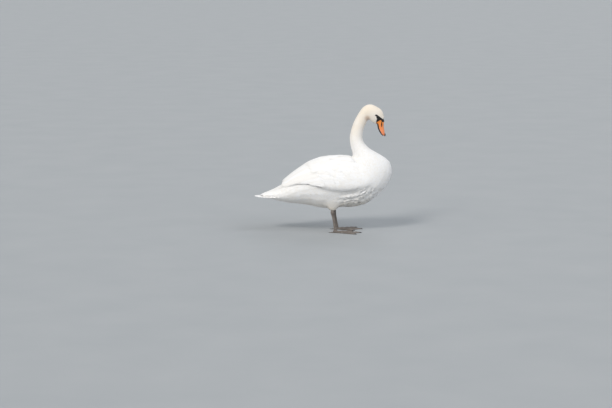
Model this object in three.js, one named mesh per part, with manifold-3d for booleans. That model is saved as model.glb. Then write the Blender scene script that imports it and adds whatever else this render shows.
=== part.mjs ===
// A standing mute swan, life size, in millimetres.
// +X is the way it faces, +Y its left side and +Z up. The origin is on the floor, under the middle of the
// bird's length. The flesh and its coat are one long form, from the tail through the trunk and the neck to
// the face, parted by thin gaps where its parts are named. The wings lie over the trunk as two shells.
import * as THREE from "three";
import { mergeVertices } from "three/addons/utils/BufferGeometryUtils.js";
import Module from "manifold-3d";

const wasm = await Module();
wasm.setup();

// ---------------------------------------------------------------- sizes
const GAP = 0.3; // between neighbouring pieces
const AROUND = 20; // corners of a ring of the body
const RINGS_PER_STATION = 2;

const EYE_RADIUS = 7; // of the whole eyeball, of which the lids leave a part to see
const EYE_PLACE = new THREE.Vector3(291, 23.5, 643.5);

const STANCE = 62; // from the middle of the body to the middle of each foot
const HIP = { x: 58, z: 196 }; // where the feathered thigh leaves the belly
const THIGH = { length: 100, width: 80 };
const ANKLE = { x: 54, z: 113, length: 24, width: 19 };
const SHANK = { length: 16, width: 12.5 };
const HEEL = { x: 70, z: 17, length: 21, width: 19 };
const FAR_FOOT_LEAD = 9; // the left leg stands this much ahead of the right one
const WEB_THICKNESS = 2.2;
const CLAW_LENGTH = 13;

// ---------------------------------------------------------------- shapes
// One station of a long form: its upper edge and lower edge in the XZ plane, its half width, and how far up
// from the lower edge it is widest, as a share of its depth.
const station = (upper, lower, halfWidth, widest = 0.5) => ({
  upper: new THREE.Vector3(upper[0], 0, upper[1]),
  lower: new THREE.Vector3(lower[0], 0, lower[1]),
  shape: new THREE.Vector3(halfWidth, widest, 0),
});

// A smooth line of stations, which gives the ring of points at any place along it. Place 0 is the first
// station, 1 the second, and so on.
function stationLine(stations) {
  const last = stations.length - 1;
  const curve = (key) =>
    new THREE.CatmullRomCurve3(
      stations.map((s) => s[key]),
      false,
      "catmullrom",
      0.5,
    );
  const [upper, lower, shape] = ["upper", "lower", "shape"].map(curve);
  return {
    last,
    ring(place, grow = 0, around = AROUND) {
      const share = place / last;
      const top = upper.getPoint(share);
      const bottom = lower.getPoint(share);
      const { x: halfWidth, y: widest } = shape.getPoint(share);
      const up = top.clone().sub(bottom).normalize();
      top.addScaledVector(up, grow);
      bottom.addScaledVector(up, -grow);
      const centre = bottom.clone().lerp(top, widest);
      const above = top.distanceTo(centre);
      const below = bottom.distanceTo(centre);
      return Array.from({ length: around }, (_, i) => {
        const angle = (2 * Math.PI * i) / around;
        const rise = Math.sin(angle);
        return centre
          .clone()
          .addScaledVector(up, rise * (rise > 0 ? above : below))
          .add(new THREE.Vector3(0, (halfWidth + grow) * Math.cos(angle), 0));
      });
    },
  };
}

// A closed body over rings with the same number of points. The ends are flat fans.
function loft(rings) {
  const around = rings[0].length;
  const centreOf = (ring) =>
    ring
      .reduce((sum, p) => sum.add(p), new THREE.Vector3())
      .divideScalar(around);
  const points = [
    centreOf(rings[0]),
    ...rings.flat(),
    centreOf(rings.at(-1)),
  ];
  const tip = points.length - 1;
  const at = (ring, i) => 1 + ring * around + (i % around);
  const faces = [];
  for (let i = 0; i < around; i++) {
    faces.push(0, at(0, i + 1), at(0, i));
    faces.push(tip, at(rings.length - 1, i), at(rings.length - 1, i + 1));
    // The quads are split the other way on the right side, so that the two sides are mirror images.
    const onLeft = Math.cos((2 * Math.PI * (i + 0.5)) / around) > 0;
    for (let ring = 0; ring + 1 < rings.length; ring++) {
      const [a, b] = [at(ring, i), at(ring, i + 1)];
      const [c, d] = [at(ring + 1, i), at(ring + 1, i + 1)];
      faces.push(...(onLeft ? [a, b, c, b, d, c] : [a, b, d, a, d, c]));
    }
  }
  return new THREE.BufferGeometry().setFromPoints(points).setIndex(faces);
}

// The rings of a station line between two places: one at each end, and fine of them to a station between.
function ringsBetween(line, from, to, options = {}) {
  const { grow = 0, around = AROUND, fine = RINGS_PER_STATION } = options;
  const clear = 0.1; // of a station, between a ring and the end of the length
  const places = [from];
  for (let i = Math.ceil((from + clear) * fine); i / fine < to - clear; i++)
    places.push(i / fine);
  return [...places, to].map((place) => line.ring(place, grow, around));
}

// A tube along points, with a half width and a half height at each, and flat at its ends.
function limb(stops, around = 12) {
  return loft(
    stops.map(({ at, toward, wide, tall }) => {
      const side = new THREE.Vector3(0, 0, 1).cross(toward);
      if (side.length() < 0.5) side.set(0, 1, 0);
      side.normalize();
      const up = toward.clone().cross(side).normalize();
      return Array.from({ length: around }, (_, i) => {
        const angle = (2 * Math.PI * i) / around;
        return at
          .clone()
          .addScaledVector(side, wide * Math.cos(angle))
          .addScaledVector(up, tall * Math.sin(angle));
      });
    }),
  );
}

// ---------------------------------------------------------------- joining and cutting
function toSolid(geometry) {
  const bare = geometry.clone();
  bare.deleteAttribute("normal");
  bare.deleteAttribute("uv");
  const merged = mergeVertices(bare, 1e-4);
  return new wasm.Manifold(
    new wasm.Mesh({
      numProp: 3,
      vertProperties: new Float32Array(merged.attributes.position.array),
      triVerts: new Uint32Array(merged.index.array),
    }),
  );
}

function toGeometry(solid) {
  const { vertProperties, triVerts } = solid.getMesh();
  return new THREE.BufferGeometry()
    .setAttribute(
      "position",
      new THREE.BufferAttribute(new Float32Array(vertProperties), 3),
    )
    .setIndex(new THREE.BufferAttribute(new Uint32Array(triVerts), 1));
}

// A solid a gap larger on every side, for cutting its neighbours.
function grown(solid) {
  const steps = [0, 1, 2].flatMap((axis) =>
    [-GAP, GAP].map((by) => [0, 1, 2].map((a) => (a === axis ? by : 0))),
  );
  return steps.reduce((sum, step) => sum.add(solid.translate(step)), solid);
}

// The largest body of a solid, without the slivers that a cut may leave.
const largest = (solid) =>
  solid.decompose().reduce((a, b) => (a.volume() > b.volume() ? a : b));

const mirrored = (geometry) => {
  const copy = geometry.clone().scale(1, -1, 1);
  const index = copy.index.array;
  for (let i = 0; i < index.length; i += 3)
    [index[i + 1], index[i + 2]] = [index[i + 2], index[i + 1]];
  return copy;
};

const ball = (centre, radii, wide = 12, tall = 8) =>
  new THREE.SphereGeometry(1, wide, tall)
    .scale(radii.x, radii.y, radii.z)
    .translate(centre.x, centre.y, centre.z);

// ---------------------------------------------------------------- body
// From the tail's tip to the face. On the breast the stations fan round the back of the neck's root.
const BODY = stationLine([
  station([-379, 199], [-379, 193], 7), // tail tip
  station([-345, 206], [-345, 191], 35),
  station([-300, 217], [-300, 185], 56),
  station([-243, 240], [-243, 172], 74), // tail root
  station([-186, 284], [-186, 160], 93), // rump
  station([-126, 330], [-126, 154], 107),
  station([-71, 367], [-71, 146], 116),
  station([-16, 392], [-16, 133], 121),
  station([38, 405], [38, 129], 123), // over the legs
  station([96, 412], [96, 136], 121),
  station([146, 415], [168, 140], 118), // shoulders
  station([160, 416], [236, 156], 114, 0.48),
  station([164, 420], [303, 202], 107, 0.46),
  station([165, 426], [352, 257], 98, 0.46),
  station([164, 434], [380, 322], 87, 0.47), // breast
  station([161, 444], [367, 385], 74),
  station([157, 458], [316, 424], 61),
  station([153, 475], [266, 452], 50), // root of the neck
  station([150, 494], [230, 485], 42),
  station([148, 520], [217.5, 517], 36),
  station([154.5, 557], [221, 553], 32.5),
  station([167, 597], [228.5, 578.5], 30.5), // upper neck
  station([182.5, 629], [237.5, 597.5], 29),
  station([200, 659], [243, 610.5], 28.5),
  station([220, 686], [248, 617], 29.5), // nape
  station([245, 700], [254, 617], 30.5),
  station([270, 700.5], [262, 612], 31.5, 0.48), // crown
  station([295, 689], [272, 605], 31.5, 0.46), // behind the eyes
  station([316, 676], [281, 599], 28.5, 0.44), // eyes
  station([328, 660], [288, 595], 24, 0.44),
  station([334, 641], [293, 593.5], 20, 0.45), // forehead
  station([336, 626], [297, 594], 17.5, 0.46), // root of the bill
]);

// Where the long form is parted, as places on it.
const CUTS = {
  tailTip: 0,
  tail: 3,
  neck: 17,
  middleOfNeck: 20,
  head: 24,
  face: BODY.last,
};

// How much of a station gives half a gap at a place, where the rings lie closest. A little is added to that.
function halfGapAt(place) {
  const step = place < BODY.last ? 0.02 : -0.02;
  const next = BODY.ring(place + step);
  const nearest = Math.min(
    ...BODY.ring(place).map((p, i) => p.distanceTo(next[i])),
  );
  return (Math.abs(step) * GAP * 0.6) / nearest;
}

// A length of the body between two cuts, short of each by half a gap.
const bodyBetween = (from, to) =>
  loft(ringsBetween(BODY, from + halfGapAt(from), to - halfGapAt(to)));

// The body a little larger, which leaves a gap round whatever is cut by it.
const bodyGrown = (from, to) =>
  toSolid(loft(ringsBetween(BODY, from, to, { grow: GAP })));

// ---------------------------------------------------------------- bill
const BILL = stationLine([
  station([333, 627], [296.5, 597], 17), // inside the face, which cuts it
  station([335, 604], [298.5, 588], 17),
  station([333.5, 587], [301.5, 572], 16),
  station([335, 571], [306.5, 559], 15.6),
  station([338, 556], [313, 547], 16.2),
  station([340, 543], [320.5, 536], 15),
  station([340.5, 533], [330, 528.5], 7.5),
]);
const BILL_AROUND = 16;
const MOUTH = { root: 0.15, tip: 0.28 }; // the share of the bill's depth that is under the mouth line
const LIP = 0.4; // how far a mandible's face toward the mouth bulges
const LOWER_NARROWER = 0.86; // the lower mandible closes inside the upper one

// One mandible: the part of the bill above or under the mouth line. The side toward the mouth is nearly
// flat, and the other one is an arch.
function mandible(above) {
  const side = above ? 1 : -1;
  const narrow = above ? 1 : LOWER_NARROWER;
  const rings = ringsBetween(BILL, 0, BILL.last, { around: BILL_AROUND });
  const arches = rings.map((ring, place) => {
    const under = THREE.MathUtils.lerp(MOUTH.root, MOUTH.tip, place / (rings.length - 1));
    const top = ring[BILL_AROUND / 4];
    const bottom = ring[(BILL_AROUND * 3) / 4];
    const up = top.clone().sub(bottom).normalize();
    const depth = top.distanceTo(bottom);
    const mouth = bottom.clone().addScaledVector(up, depth * under);
    mouth.addScaledVector(up, side * (GAP / 2 + LIP));
    const height = Math.max(depth * (above ? 1 - under : under) - GAP, 1);
    return ring.map((_, i) => {
      const angle = (2 * Math.PI * i) / BILL_AROUND;
      const away = side * Math.sin(angle);
      const rise = away > 0 ? height * away : LIP * away;
      const across = Math.sign(Math.cos(angle)) * Math.abs(Math.cos(angle)) ** 0.8;
      return mouth
        .clone()
        .addScaledVector(up, side * rise)
        .add(new THREE.Vector3(0, ring[0].y * narrow * across, 0));
    });
  });
  return toSolid(loft(arches));
}

// The round or long bumps and holes of the bill.
const KNOB = {
  centre: new THREE.Vector3(328.5, 0, 610),
  radii: new THREE.Vector3(9.5, 10, 13),
  wide: 12,
  tall: 8,
};
const NAIL = {
  centre: new THREE.Vector3(341, 0, 534),
  radii: new THREE.Vector3(4.2, 6.5, 9),
};
const NOSTRIL = {
  centre: new THREE.Vector3(321.5, 15.5, 589),
  radii: new THREE.Vector3(2.2, 5, 6.5),
  wide: 8,
};
const bump = ({ centre, radii, wide = 10, tall = 6 }, grow = 0) =>
  toSolid(ball(centre, radii.clone().addScalar(grow), wide, tall));

// ---------------------------------------------------------------- wings
// The outer face of both folded wings together, as one form over the back.
const FOLDED_WINGS = stationLine([
  station([-230, 266], [-230, 244], 20), // tips
  station([-213, 290], [-213, 214], 58),
  station([-181, 319], [-181, 190], 93),
  station([-126, 360], [-126, 178], 117, 0.42),
  station([-71, 393], [-71, 168], 131, 0.42),
  station([-16, 413], [-16, 160], 139, 0.42),
  station([38, 421], [38, 156], 142, 0.42),
  station([93, 424], [93, 156], 141, 0.42),
  station([146, 421], [146, 160], 135, 0.42),
  station([196, 402], [196, 168], 127, 0.44),
  station([240, 380], [240, 184], 118, 0.46),
  station([276, 354], [276, 206], 105, 0.48), // bends of the wings
  station([304, 322], [304, 240], 80),
]);

// The side outline of a folded wing, seen from the side, in X and Z.
function wingOutline() {
  const shape = new THREE.Shape();
  shape.moveTo(-232, 258); // tip
  shape.quadraticCurveTo(-200, 286, -137, 287);
  shape.quadraticCurveTo(-60, 276, 20, 250); // lower edge of the flight feathers
  shape.quadraticCurveTo(130, 228, 220, 250);
  shape.quadraticCurveTo(268, 266, 266, 306); // bend of the wing
  shape.quadraticCurveTo(256, 352, 200, 388);
  shape.quadraticCurveTo(150, 414, 112, 440); // front edge, up to the back
  shape.lineTo(-120, 460);
  shape.lineTo(-240, 320);
  return shape;
}

// A flat outline in X and Z, made a block from one Y to another.
function blockOf(shape, fromY, toY, curveSegments = 6) {
  const block = new THREE.ExtrudeGeometry(shape, {
    depth: toY - fromY,
    bevelEnabled: false,
    curveSegments,
  });
  return block.rotateX(Math.PI / 2).translate(0, toY, 0);
}

const WING_REACH = 200;
const WING_MIDLINE = 0.9; // half of the furrow between the two wings

function leftWing() {
  const outside = toSolid(
    loft(ringsBetween(FOLDED_WINGS, 0, FOLDED_WINGS.last, { fine: 1 })),
  );
  const side = toSolid(blockOf(wingOutline(), WING_MIDLINE, WING_REACH));
  return largest(
    outside.intersect(side).subtract(bodyGrown(CUTS.tailTip, CUTS.middleOfNeck)),
  );
}

// The tips of the longest flight feathers, closed to one blade, over the root of the tail.
function leftWingTip() {
  const toward = new THREE.Vector3(-1, -0.05, -0.5).normalize();
  const stops = [
    { at: [-190, 26, 283], wide: 15, tall: 5 },
    { at: [-225, 27, 259], wide: 17, tall: 5 },
    { at: [-255, 25, 242], wide: 15, tall: 4 },
    { at: [-280, 22, 230], wide: 10, tall: 3 },
    { at: [-296, 20, 224], wide: 4, tall: 1.6 },
  ].map(({ at, wide, tall }) => ({
    at: new THREE.Vector3(...at),
    toward,
    wide,
    tall,
  }));
  return toSolid(limb(stops, 8));
}

// ---------------------------------------------------------------- legs
const onLeg = (x, z) => new THREE.Vector3(x, STANCE, z);

// The feathered thigh, which narrows from the belly to the bare leg.
function thighSolid() {
  const levels = [
    { z: HIP.z, share: 1 },
    { z: 178, share: 0.88 },
    { z: 160, share: 0.66 },
    { z: 145, share: 0.46 },
    { z: 133, share: 0.32 },
    { z: 127, share: 0.25 },
  ];
  const stops = levels.map(({ z, share }) => {
    const down = (HIP.z - z) / (HIP.z - ANKLE.z);
    return {
      at: onLeg(THREE.MathUtils.lerp(HIP.x, ANKLE.x, down), z),
      toward: new THREE.Vector3(0, 0, -1),
      wide: (THIGH.width / 2) * share,
      tall: (THIGH.length / 2) * share,
    };
  });
  return toSolid(limb(stops, 16));
}

// The bare leg, from inside the feathers to the root of the toes. It is thickest at the ankle joint.
function shankSolid() {
  const top = onLeg(ANKLE.x, ANKLE.z);
  const bottom = onLeg(HEEL.x, HEEL.z);
  const toward = bottom.clone().sub(top).normalize();
  const length = top.distanceTo(bottom);
  const stops = [
    { along: -12, size: SHANK, share: 1 },
    { along: -5, size: ANKLE, share: 0.92 },
    { along: 3, size: ANKLE, share: 1 },
    { along: 14, size: ANKLE, share: 0.82 },
    { along: 28, size: SHANK, share: 1 },
    { along: length * 0.6, size: SHANK, share: 0.96 },
    { along: length - 14, size: SHANK, share: 1.06 },
    { along: length - 4, size: HEEL, share: 0.94 },
    { along: length + 3, size: HEEL, share: 0.84 },
  ].map(({ along, size, share }) => ({
    at: top.clone().addScaledVector(toward, along),
    toward,
    wide: (size.width / 2) * share,
    tall: (size.length / 2) * share,
  }));
  return toSolid(limb(stops, 10));
}

// The toes: turned out from straight ahead by an angle, with the lengths of their bones.
const TOES = {
  inner: { turn: -27, bones: [50, 34, 22], radius: 6.6 },
  middle: { turn: 2, bones: [52, 38, 28, 18], radius: 7.4 },
  outer: { turn: 29, bones: [40, 32, 26, 26], radius: 6.8 },
  hind: { turn: 172, bones: [15, 13], radius: 4.2 },
};
const TOE_TAPER = 0.42; // the share of its radius that a toe loses along its length
const TOE_LIFT = 0.74; // the middle line's height, in radii: below it the toe is pressed flat
const TOE_ROOT_BACK = 4; // the toes start this far behind the middle of the leg's lower end
const PAD = { back: 1, z: 8, radii: new THREE.Vector3(13, 11, 11) }; // under the leg

const heading = (turn) => {
  const angle = THREE.MathUtils.degToRad(turn);
  return new THREE.Vector3(Math.cos(angle), Math.sin(angle), 0);
};
const toeStart = () => onLeg(HEEL.x - TOE_ROOT_BACK, 0);
const toeLength = ({ bones }) => bones.reduce((sum, b) => sum + b, 0);
const toeRadiusAt = (toe, share) => toe.radius * (1 - TOE_TAPER * share);

// One toe, lying on the floor, a little thicker at each knuckle than between two.
function toeSolid(toe) {
  const ahead = heading(toe.turn);
  const length = toeLength(toe);
  const knuckles = [0];
  for (const bone of toe.bones) knuckles.push(knuckles.at(-1) + bone);
  const places = knuckles.flatMap((knuckle, i) =>
    i === 0 ? [knuckle] : [(knuckles[i - 1] + knuckle) / 2, knuckle],
  );
  const stops = places.map((along, i) => {
    const swell = i % 2 ? 0.88 : 1.08;
    const end = i === places.length - 1 ? 0.8 : 1;
    const radius = toeRadiusAt(toe, along / length) * swell * end;
    return {
      at: toeStart().addScaledVector(ahead, along).setZ(radius * TOE_LIFT),
      toward: ahead,
      wide: radius,
      tall: radius,
    };
  });
  return toSolid(limb(stops, 8));
}

// A claw past the end of a toe, with a blunt point just clear of the floor.
function clawSolid(toe) {
  const ahead = heading(toe.turn);
  const start = toeStart().addScaledVector(ahead, toeLength(toe) + GAP);
  const root = toeRadiusAt(toe, 1) * 0.72;
  const length = CLAW_LENGTH * (toe.radius / TOES.middle.radius);
  const stops = [
    { share: 0, wide: 1, tall: 1.05, lift: 0.2 },
    { share: 0.35, wide: 0.92, tall: 0.85, lift: 0.3 },
    { share: 0.7, wide: 0.66, tall: 0.52, lift: 0.3 },
    { share: 1, wide: 0.3, tall: 0.22, lift: 0.4 },
  ].map(({ share, wide, tall, lift }) => ({
    at: start
      .clone()
      .addScaledVector(ahead, share * length)
      .setZ(tall * root + lift),
    toward: ahead,
    wide: wide * root,
    tall: tall * root,
  }));
  return toSolid(limb(stops, 6));
}

const SUNK = 1; // how far the webs are made to reach under the floor, before the sole is cut

// The web between two toes, with a slightly hollow front edge.
function webBetween(a, b) {
  const [tipA, tipB] = [a, b].map((toe) =>
    toeStart().addScaledVector(heading(toe.turn), toeLength(toe) * 0.97),
  );
  const start = toeStart();
  const hollow = tipA.clone().lerp(tipB, 0.5).lerp(start, 0.08);
  const shape = new THREE.Shape();
  shape.moveTo(start.x, start.y);
  shape.lineTo(tipA.x, tipA.y);
  shape.quadraticCurveTo(hollow.x, hollow.y, tipB.x, tipB.y);
  const web = new THREE.ExtrudeGeometry(shape, {
    depth: WEB_THICKNESS + SUNK,
    bevelEnabled: false,
    curveSegments: 4,
  });
  return toSolid(web.translate(0, 0, -SUNK));
}

// What is under the floor's level is cut away, which leaves a flat sole.
const UNDER_FLOOR = toSolid(
  new THREE.BoxGeometry(2000, 2000, 100).translate(0, 0, -50),
);

function footSolid() {
  const { inner, middle, outer } = TOES;
  const pad = toSolid(ball(onLeg(HEEL.x - PAD.back, PAD.z), PAD.radii, 10, 6));
  return [
    ...Object.values(TOES).map(toeSolid),
    webBetween(inner, middle),
    webBetween(middle, outer),
  ]
    .reduce((sum, piece) => sum.add(piece), pad)
    .subtract(UNDER_FLOOR);
}

// ---------------------------------------------------------------- materials
const finish = (color, roughness) =>
  new THREE.MeshStandardMaterial({ color, roughness, metalness: 0 });
const MATERIALS = {
  plumage: finish(0xf4f3ef, 0.75),
  creamPlumage: finish(0xefe6d6, 0.75),
  bill: finish(0xe8863c, 0.42),
  blackSkin: finish(0x1b1a19, 0.45),
  eye: finish(0x1a120c, 0.08),
  leg: finish(0x4a4644, 0.5),
  claw: finish(0x2b2725, 0.4),
};

// ---------------------------------------------------------------- the bird
const swan = new THREE.Group();

function addPiece(name, geometry, material) {
  const mesh = new THREE.Mesh(geometry, material);
  mesh.name = name;
  swan.add(mesh);
}

// Adds a piece made for the left side, and the same on the right. The left leg may stand ahead.
function addPair(name, solid, material, lead = 0) {
  const left = toGeometry(solid);
  addPiece(name + "_right", mirrored(left), material);
  addPiece(name + "_left", left.clone().translate(lead, 0, 0), material);
}

const lengths = [
  ["tail", CUTS.tailTip, CUTS.tail, MATERIALS.plumage],
  ["trunk", CUTS.tail, CUTS.neck, MATERIALS.plumage],
  ["neck_lower", CUTS.neck, CUTS.middleOfNeck, MATERIALS.plumage],
  ["neck_upper", CUTS.middleOfNeck, CUTS.head, MATERIALS.creamPlumage],
];
for (const [name, from, to, material] of lengths)
  addPiece(name, bodyBetween(from, to), material);

const eyeSolid = (sideways, grow = 0) => {
  const radius = EYE_RADIUS + grow;
  return toSolid(
    ball(EYE_PLACE, new THREE.Vector3(radius, radius, radius), 12, 7),
  ).translate([0, EYE_PLACE.y * (sideways - 1), 0]);
};
const head = toSolid(bodyBetween(CUTS.head, CUTS.face))
  .subtract(eyeSolid(1, GAP))
  .subtract(eyeSolid(-1, GAP))
  .subtract(bump(KNOB, GAP));
addPiece("head", toGeometry(largest(head)), MATERIALS.creamPlumage);
addPair("eye", eyeSolid(1), MATERIALS.eye);

const faceGrown = bodyGrown(CUTS.head, CUTS.face);
const nostril = bump(NOSTRIL);
const upperBill = mandible(true)
  .subtract(bump(KNOB, GAP))
  .subtract(bump(NAIL, GAP))
  .subtract(nostril)
  .subtract(nostril.translate([0, -2 * NOSTRIL.centre.y, 0]))
  .subtract(faceGrown);
const lowerBill = mandible(false).subtract(bump(NAIL, GAP)).subtract(faceGrown);
addPiece("bill_upper", toGeometry(largest(upperBill)), MATERIALS.bill);
addPiece("bill_lower", toGeometry(largest(lowerBill)), MATERIALS.blackSkin);
addPiece("bill_nail", toGeometry(bump(NAIL)), MATERIALS.blackSkin);
addPiece("knob", toGeometry(bump(KNOB)), MATERIALS.blackSkin);

const wing = leftWing();
const wingGrown = grown(wing);
const wingTip = leftWingTip()
  .subtract(wingGrown)
  .subtract(bodyGrown(CUTS.tailTip, CUTS.tail + 5));
addPair("wing", wing, MATERIALS.plumage);
addPair("wing_tip", largest(wingTip), MATERIALS.plumage);

const shank = shankSolid();
const shankGrown = grown(shank);
const thigh = thighSolid()
  .subtract(bodyGrown(CUTS.tail, CUTS.neck - 3))
  .subtract(wingGrown)
  .subtract(shankGrown);
const foot = footSolid().subtract(shankGrown);
addPair("thigh", largest(thigh), MATERIALS.plumage, FAR_FOOT_LEAD);
addPair("shank", shank, MATERIALS.leg, FAR_FOOT_LEAD);
addPair("foot", largest(foot), MATERIALS.leg, FAR_FOOT_LEAD);
for (const [name, toe] of Object.entries(TOES))
  addPair("claw_" + name, clawSolid(toe), MATERIALS.claw, FAR_FOOT_LEAD);

// The origin is under the middle of the whole length.
const box = new THREE.Box3().setFromObject(swan);
swan.position.x = -(box.min.x + box.max.x) / 2;

export default swan;
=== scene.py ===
# A standing mute swan, life size, in metres. It faces +X, its left side is +Y, and it stands on Z = 0.
import math

import bmesh
import bpy
import numpy as np
from mathutils import Matrix, Vector, noise
from mathutils.bvhtree import BVHTree


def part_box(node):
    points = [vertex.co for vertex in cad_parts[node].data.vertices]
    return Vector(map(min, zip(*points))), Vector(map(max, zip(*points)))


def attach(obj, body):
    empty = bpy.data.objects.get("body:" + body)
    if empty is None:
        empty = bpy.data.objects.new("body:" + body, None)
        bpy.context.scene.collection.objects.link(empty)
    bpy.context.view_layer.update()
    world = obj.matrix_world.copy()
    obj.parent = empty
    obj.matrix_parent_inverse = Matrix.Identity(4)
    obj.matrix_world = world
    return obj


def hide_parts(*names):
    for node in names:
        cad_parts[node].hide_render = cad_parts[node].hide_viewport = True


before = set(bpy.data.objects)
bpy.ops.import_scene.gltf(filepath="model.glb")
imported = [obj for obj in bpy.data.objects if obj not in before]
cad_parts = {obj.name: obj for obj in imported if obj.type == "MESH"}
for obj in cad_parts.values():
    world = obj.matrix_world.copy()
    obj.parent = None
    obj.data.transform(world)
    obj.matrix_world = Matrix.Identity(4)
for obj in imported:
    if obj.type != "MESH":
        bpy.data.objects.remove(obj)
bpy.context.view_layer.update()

# ---------------------------------------------------------------- Camera
# A long lens, some ten metres from the bird's right side and a little above it. It looks level with the
# row of the bird's length, so the camera is moved sideways instead of turned.
PICTURE = (612, 408)
FOCAL_PIXELS = 1911
HEEL = Vector((0.0694, -0.062, 0.0))
HEEL_PIXEL = (335.5, 232.75)
CAMERA_DISTANCE = 10.5
CAMERA_RISE = math.radians(9)
SENSOR = 36  # millimetres across


def placed(name, data):
    """A new object in the scene."""
    piece = bpy.data.objects.new(name, data)
    bpy.context.collection.objects.link(piece)
    return piece


heel_right = (HEEL_PIXEL[0] - PICTURE[0] / 2) / FOCAL_PIXELS
heel_under = math.atan((HEEL_PIXEL[1] - PICTURE[1] / 2) / FOCAL_PIXELS)
camera_data = bpy.data.cameras.new("camera")
camera_data.sensor_width = SENSOR
camera_data.lens = SENSOR * FOCAL_PIXELS / PICTURE[0]
camera = placed("camera", camera_data)
camera.location = HEEL + CAMERA_DISTANCE * Vector(
    (-heel_right * math.cos(heel_under), -math.cos(CAMERA_RISE), math.sin(CAMERA_RISE))
)
camera.rotation_euler = (math.pi / 2 - CAMERA_RISE + heel_under, 0, 0)
bpy.context.scene.camera = camera


# ---------------------------------------------------------------- Floor and light
# A wide pale grey studio floor under an even sky. One large soft lamp stands high at the left of the view, a
# softer one at the right, one behind the bird lights its edges, and a low one reaches the belly.
def linear(hex_colour):
    """An sRGB colour as the renderer takes it."""
    shares = [int(hex_colour[i : i + 2], 16) / 255 for i in (1, 3, 5)]
    return tuple(s / 12.92 if s <= 0.04045 else ((s + 0.055) / 1.055) ** 2.4 for s in shares) + (1.0,)


def feed(tree, node, inputs):
    """Gives some inputs of a node, named or numbered, their values, or links from sockets."""
    for name, value in inputs.items():
        if isinstance(value, bpy.types.NodeSocket):
            tree.links.new(value, node.inputs[name])
        else:
            node.inputs[name].default_value = value


def add(tree, kind, inputs=None, **settings):
    """Adds a node with its settings, and feeds its inputs."""
    new = tree.nodes.new(kind)
    for name, value in settings.items():
        setattr(new, name, value)
    feed(tree, new, inputs or {})
    return new


def new_material(name):
    material = bpy.data.materials.new(name)
    material.use_nodes = True
    return material, material.node_tree, material.node_tree.nodes["Principled BSDF"]


def clouded(tree, place, size, detail, one, two):
    """A colour that changes from one hex colour to another in soft clouds of a size."""
    cloud = add(
        tree, "ShaderNodeTexNoise", {"Vector": place, "Scale": 1 / size, "Detail": detail}
    ).outputs["Fac"]
    return add(
        tree, "ShaderNodeMix", {0: cloud, 6: linear(one), 7: linear(two)}, data_type="RGBA"
    ).outputs[2]


def mesh_of(shape, name):
    """The mesh of a bmesh, which is freed."""
    data = bpy.data.meshes.new(name)
    shape.to_mesh(data)
    shape.free()
    return data


FLOOR_SIZE = 80.0
FLOOR_CLOUD = 1 / 3  # how wide its faint clouds are
floor_shape = bmesh.new()
bmesh.ops.create_grid(floor_shape, x_segments=1, y_segments=1, size=FLOOR_SIZE / 2)
floor = placed("floor", mesh_of(floor_shape, "floor"))
# Matt grey paint on board, a little cloudy, so that the floor doesn't look like a flat colour.
painted_board, tree, shader = new_material("painted_board")
place = add(tree, "ShaderNodeTexCoord").outputs["Object"]
colour = clouded(tree, place, FLOOR_CLOUD, 4.0, "#9fa3a6", "#a9acae")
feed(tree, shader, {"Base Color": colour, "Roughness": 0.8})
floor.data.materials.append(painted_board)

world = bpy.data.worlds.new("studio")
world.use_nodes = True
bpy.context.scene.world = world
feed(world.node_tree, world.node_tree.nodes["Background"], {"Color": linear("#d5dade"), "Strength": 0.62})
bpy.context.scene.view_settings.view_transform = "Standard"

LAMPS = {
    # name: direction that it comes from, how soft it is in degrees, strength, colour
    "key": ((-0.5, -0.9, 0.82), 16, 1.52, "#fffaf3"),
    "fill": ((0.85, -0.6, 0.95), 50, 1.08, "#f8faff"),
    "rim": ((0.3, 1.0, 0.9), 40, 0.45, "#f4f7ff"),
    "low": ((-0.9, -0.6, 0.08), 50, 1.0, "#fffaf3"),
}
for name, (origin, softness, strength, colour) in LAMPS.items():
    lamp_data = bpy.data.lights.new(name, "SUN")
    lamp_data.angle = math.radians(softness)
    lamp_data.energy = strength
    lamp_data.color = linear(colour)[:3]
    lamp = placed(name, lamp_data)
    lamp.location = 3 * Vector(origin)
    lamp.rotation_euler = Vector(origin).to_track_quat("Z", "Y").to_euler()

# ---------------------------------------------------------------- Skin
# The flesh under the feathers is one closed form without seams. It is the outer form of the bird melted
# together and then drawn in by the depth of the coat, which is a millimetre or two on the face and nearly
# a centimetre on the body.
FLESH = ["trunk", "tail", "neck_lower", "neck_upper", "head"]
FLESH += ["wing_left", "wing_right", "thigh_left", "thigh_right"]
SWELL = 0.0004  # closes the thin gaps between the solids
SKIN_VOXEL = 0.0032
SKIN_SMOOTHING = 5
SPINE_STEPS = 16  # between two landmarks
SPINE_BLEND = 0.03  # how far along the spine the lie of the coat is evened out
THIN_SHARE = 0.28  # of the form's own thickness, which the coat may take up on each side
COAT_EVENING = 12
# The front edge of a folded wing and the front half of its lower edge, seen from the side.
WING_FRONT_EDGE = np.array([
    (0.130, 0.432), (0.165, 0.412), (0.200, 0.388), (0.222, 0.360), (0.245, 0.332), (0.266, 0.306),
    (0.262, 0.285), (0.245, 0.264), (0.220, 0.252), (0.195, 0.250), (0.165, 0.250), (0.130, 0.250),
    (0.095, 0.250), (0.060, 0.250), (0.030, 0.252),
])
FILL_REACH = 0.030  # from that edge, over which the step between wing and breast is filled up
FILL_TIMES = 60
ON_SIDE = 0.03  # points this far from the middle are on the bird's sides

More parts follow.
